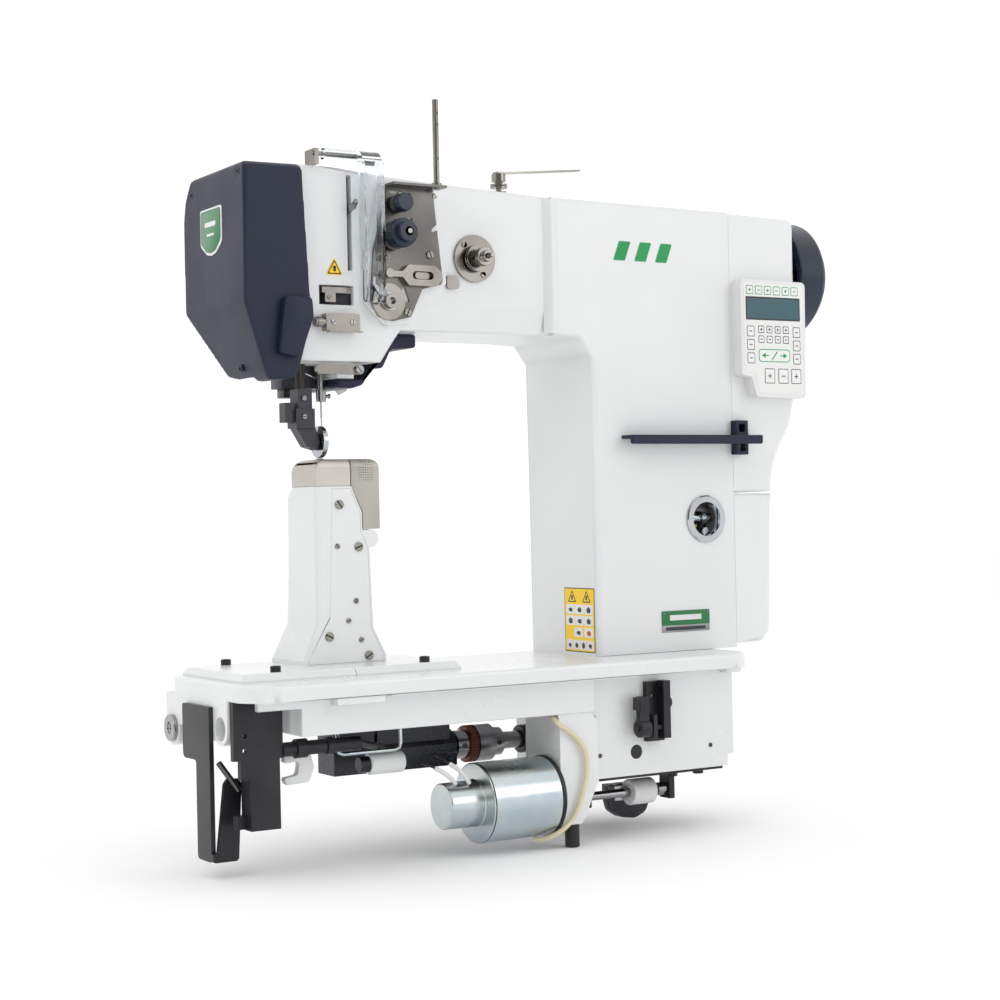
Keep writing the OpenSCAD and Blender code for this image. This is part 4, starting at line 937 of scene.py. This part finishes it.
# a black disc inside the column behind the oil window: painted shade for the dark interior
turned("windowPaintedShade", "head", "blackOxide", [(0.5, 0), (26, 0), (26, 1), (0.5, 1)], "y",
       (window["x"], 96, window["z"]), 40)
turned("windowShaft", "head", "polished", [(2, 0), (6.5, 0), (7, 0.5), (7, 14), (5.4, 14.5), (5.4, 22),
                                           (8.2, 22.4), (8.2, 27), (6, 27.4), (6, 36), (2, 36)],
       "x", (window["x"] - 18, 82, window["z"] + 1), 40)
turned("windowFitting", "head", "brass", [(1, 0), (2.2, 0), (2.2, 8), (3.2, 8.4), (3.2, 11), (1, 11)], "z",
       (window["x"] - 5, 76, window["z"] - 16), 24)
turned("windowNut", "head", "polished", [(1, 0), (4.2, 0), (4.6, 0.6), (4.6, 3), (1, 3)], "y",
       (window["x"] + 5, 70, window["z"] - 12), 6)
slab("windowBracket", "head", "darkSteel", [(493, 133), (522, 131), (519, 138), (497, 140)], "xz", 74, 78,
     0.5)
print("labels and panel done")


# ---- Under the bed

cable = {"radius": 2.3, "route": [(299.5, 21, -45.8), (299.7, 16, -48.5), (302, 11, -53), (308, 10, -57),
                                  (315, 10, -62),
                                  (321, 10, -68), (326, 9.5, -76), (328.5, 9.5, -85), (328.5, 9.5, -95),
                                  (327, 9.5, -105),
                                  (323.5, 9.5, -115), (319.5, 9.5, -125), (315, 9.5, -133),
                                  (309, 9.5, -139.5),
                                  (302, 10, -144.5), (295, 13, -149), (288, 19, -152.2), (281, 25, -153)]}
tube("heldCable", "head", "pvc", cable["route"], cable["radius"], swaps=("cable",))

wireGuard = {"radius": 1.7, "route": [(103.5, 50, -40), (103.5, 50, -60), (105, 50, -64.5), (109.5, 50, -66),
                                      (158, 50, -66),
                                      (162.5, 50, -64.5), (164, 50, -60), (164, 50, -40)]}
tube("wireGuard", "head", "zinc", wireGuard["route"], wireGuard["radius"], smooth=False)

leads = {"radius": 2.0, "core": 0.9}
for i, route in enumerate([[(206, 30, -98), (203, 30, -94), (196, 31, -88), (188, 34, -83), (180, 44, -79)],
                           [(218, 27, -98), (215, 27, -93), (209, 29, -86), (202, 33, -80), (196, 46, -74)]]):
    tube(f"leadSleeve{i}", "head", "nylon", route[:4], leads["radius"])
    tube(f"leadCore{i}", "head", "greyInk", route, leads["core"])

turned("windingRing", "lower_drive", "brownRing",
       [(10, 0), (15.4, 0), (16.4, 0.8), (16.4, 7), (15.4, 7.8), (10, 7.8)], "x", (266.6, 118, -76), 48)
mesh = grown("ribs", bpy.data.meshes.new("empty"),
             {"Centre": at(270.5, 118, -76), "Aim": (0, math.pi / 2, 0), "Radius": 0.0162, "Count": 36,
                                   "Rib Radius": 0.0007, "Length": 0.0078, "Material": finishes["brownRing"]})
settle(mesh, "windingRibs", "lower_drive", "brownRing")
turned("canRim", "head", "blackOxide", [(30, 0), (35.4, 0), (35.8, 0.6), (35.8, 3.4), (35.4, 4), (30, 4)],
       "x", (297.6, 36, -117), 64)
turned("canGroove", "head", "darkSteel", [(19, 0), (35.1, 0), (35.1, 1.2), (19, 1.2)], "x", (229, 36, -117),
       64)
weightShape = outline([(395.8, -120.8), (440.2, -120.8), (443.2, -136), (437.2, -149.2), (425, -154.2),
                       (410, -152.2), (398.8, -145.2),
                       (395.8, -134)], [2, 2, 6, 10, 12, 12, 10, 4])
slab("weightCoat", "rocker", "blackCast", weightShape, "xz", 72.8, 85.2, 0.8)
slab("weightArm", "rocker", "blackCast", rectangle(395.8, 403.7, 64.2, 85.2), "xy", -134.2, -120.8, 0.6)
screws("boxScrews", "head", "darkSteel", [(349, 18, -84.5), (473, 18, -84.5)], 2.0, seed=41)
turned("boxPort", "head", "blackOxide", [(0.5, 0), (6.2, 0), (6.4, 0.3), (6.4, 4.5), (0.5, 4.5)], "y",
       (389, 18.4, -84), 32)
screws("setScrews", "lower_drive", "darkSteel", [(260, 105.2, -76), (297, 105.2, -76)], 2.4, hexed=True,
       seed=42)
slab("bellCrank", "head", "cleanEnamel", [(52, -62), (76, -60), (80, -74), (75, -86), (54, -87), (51, -81),
                                          (64, -79), (66, -68), (52, -69)], "xz",
     46, 54, 1.2, radii=3)
turned("creamBoss", "head", "cleanEnamel", [(1, 0), (8.4, 0), (9.4, 1), (9.4, 32), (8.4, 33), (1, 33)], "x",
       (138, 62, -78), 48)
turned("creamTip", "head", "blackOxide", [(1, 0), (6.4, 0), (7, 0.6), (7, 9), (1, 9)], "x", (129, 62, -78),
       40)
tube("legStrut", "head", "darkSteel", [(3, 68, -66), (20, 67, -90)], 2.6, smooth=False)
tube("linkRod", "head", "darkSteel", [(118, 38, -56), (132, 46, -60), (150, 58, -64)], 3.0, smooth=False)
screws("bossSet", "head", "blackOxide", [(12, 41.8, -37)], 3.4, hexed=True, seed=44)
print("under the bed done")


# ---- Stage, light and camera

floorLevel = -0.1483
bpy.ops.mesh.primitive_plane_add(size=14, location=(0, 0, floorLevel))
floor = bpy.context.object
floor.name = "floor"
floor.data.materials.append(finishes["floor"])

sky = {"white": 1.12, "dark": 0.12, "seen": 1.12, "behind": (-0.52, -0.85, 0.06), "from": 0.62, "to": 0.92}
world = bpy.data.worlds.new("studio")
scene.world = world
world.use_nodes = True
tree = world.node_tree
coords = tree.nodes.new("ShaderNodeTexCoord")
aimed = tree.nodes.new("ShaderNodeVectorMath")
aimed.operation = "DOT_PRODUCT"
aimed.inputs[1].default_value = sky["behind"]
tree.links.new(coords.outputs["Generated"], aimed.inputs[0])
tone = ramp(tree, aimed.outputs["Value"], sky["white"], sky["dark"], sky["from"], sky["to"])
rays = tree.nodes.new("ShaderNodeLightPath")
chosen = tree.nodes.new("ShaderNodeMix")
tree.links.new(rays.outputs["Is Camera Ray"], chosen.inputs["Factor"])
tree.links.new(tone, chosen.inputs["A"])
chosen.inputs["B"].default_value = sky["seen"]      # an even backdrop from every side
tree.links.new(chosen.outputs["Result"], tree.nodes["Background"].inputs["Strength"])
tree.nodes["Background"].inputs["Color"].default_value = (1.0, 1.0, 1.0, 1)

lamps = {
    "key": {"place": (-2.3, -1.3, 1.9), "size": 1.3, "power": 9},
    "fill": {"place": (1.6, -2.4, 1.3), "size": 1.2, "power": 7},
    "top": {"place": (0.2, 0.4, 2.4), "size": 2.0, "power": 1.5},
    "low": {"place": (-1.0, -2.2, 0.12), "size": 1.0, "power": 6},
}
lampTarget = Vector((0.05, 0.05, 0.15))
for name, lamp in lamps.items():
    data = bpy.data.lights.new(name, "AREA")
    data.energy = lamp["power"]
    data.size = lamp["size"]
    light = bpy.data.objects.new(name, data)
    light.location = lamp["place"]
    toward = lampTarget - Vector(lamp["place"])
    light.rotation_euler = toward.to_track_quat("-Z", "Y").to_euler()
    scene.collection.objects.link(light)

view = {"place": (-0.8987, -1.4368, 0.1509), "azimuth": 31.56, "climb": 0.31, "roll": -1.23, "lens": 70.47}
turn, climb, roll = (math.radians(view[k]) for k in ("azimuth", "climb", "roll"))
ahead = Vector((math.sin(turn) * math.cos(climb), math.cos(turn) * math.cos(climb), math.sin(climb)))
right = Vector((math.cos(turn), -math.sin(turn), 0))
up = right.cross(ahead)
rolledRight = right * math.cos(roll) + up * math.sin(roll)
rolledUp = up * math.cos(roll) - right * math.sin(roll)
camera = bpy.data.objects.new("camera", bpy.data.cameras.new("camera"))
camera.data.lens = view["lens"]
camera.data.sensor_width = 36
camera.matrix_world = Matrix((rolledRight, rolledUp, -ahead)).transposed().to_4x4()
camera.location = view["place"]
camera.data.clip_start, camera.data.clip_end = 0.05, 60
scene.collection.objects.link(camera)
scene.camera = camera
scene.view_settings.view_transform = "Standard"
scene.view_settings.exposure = 0.0
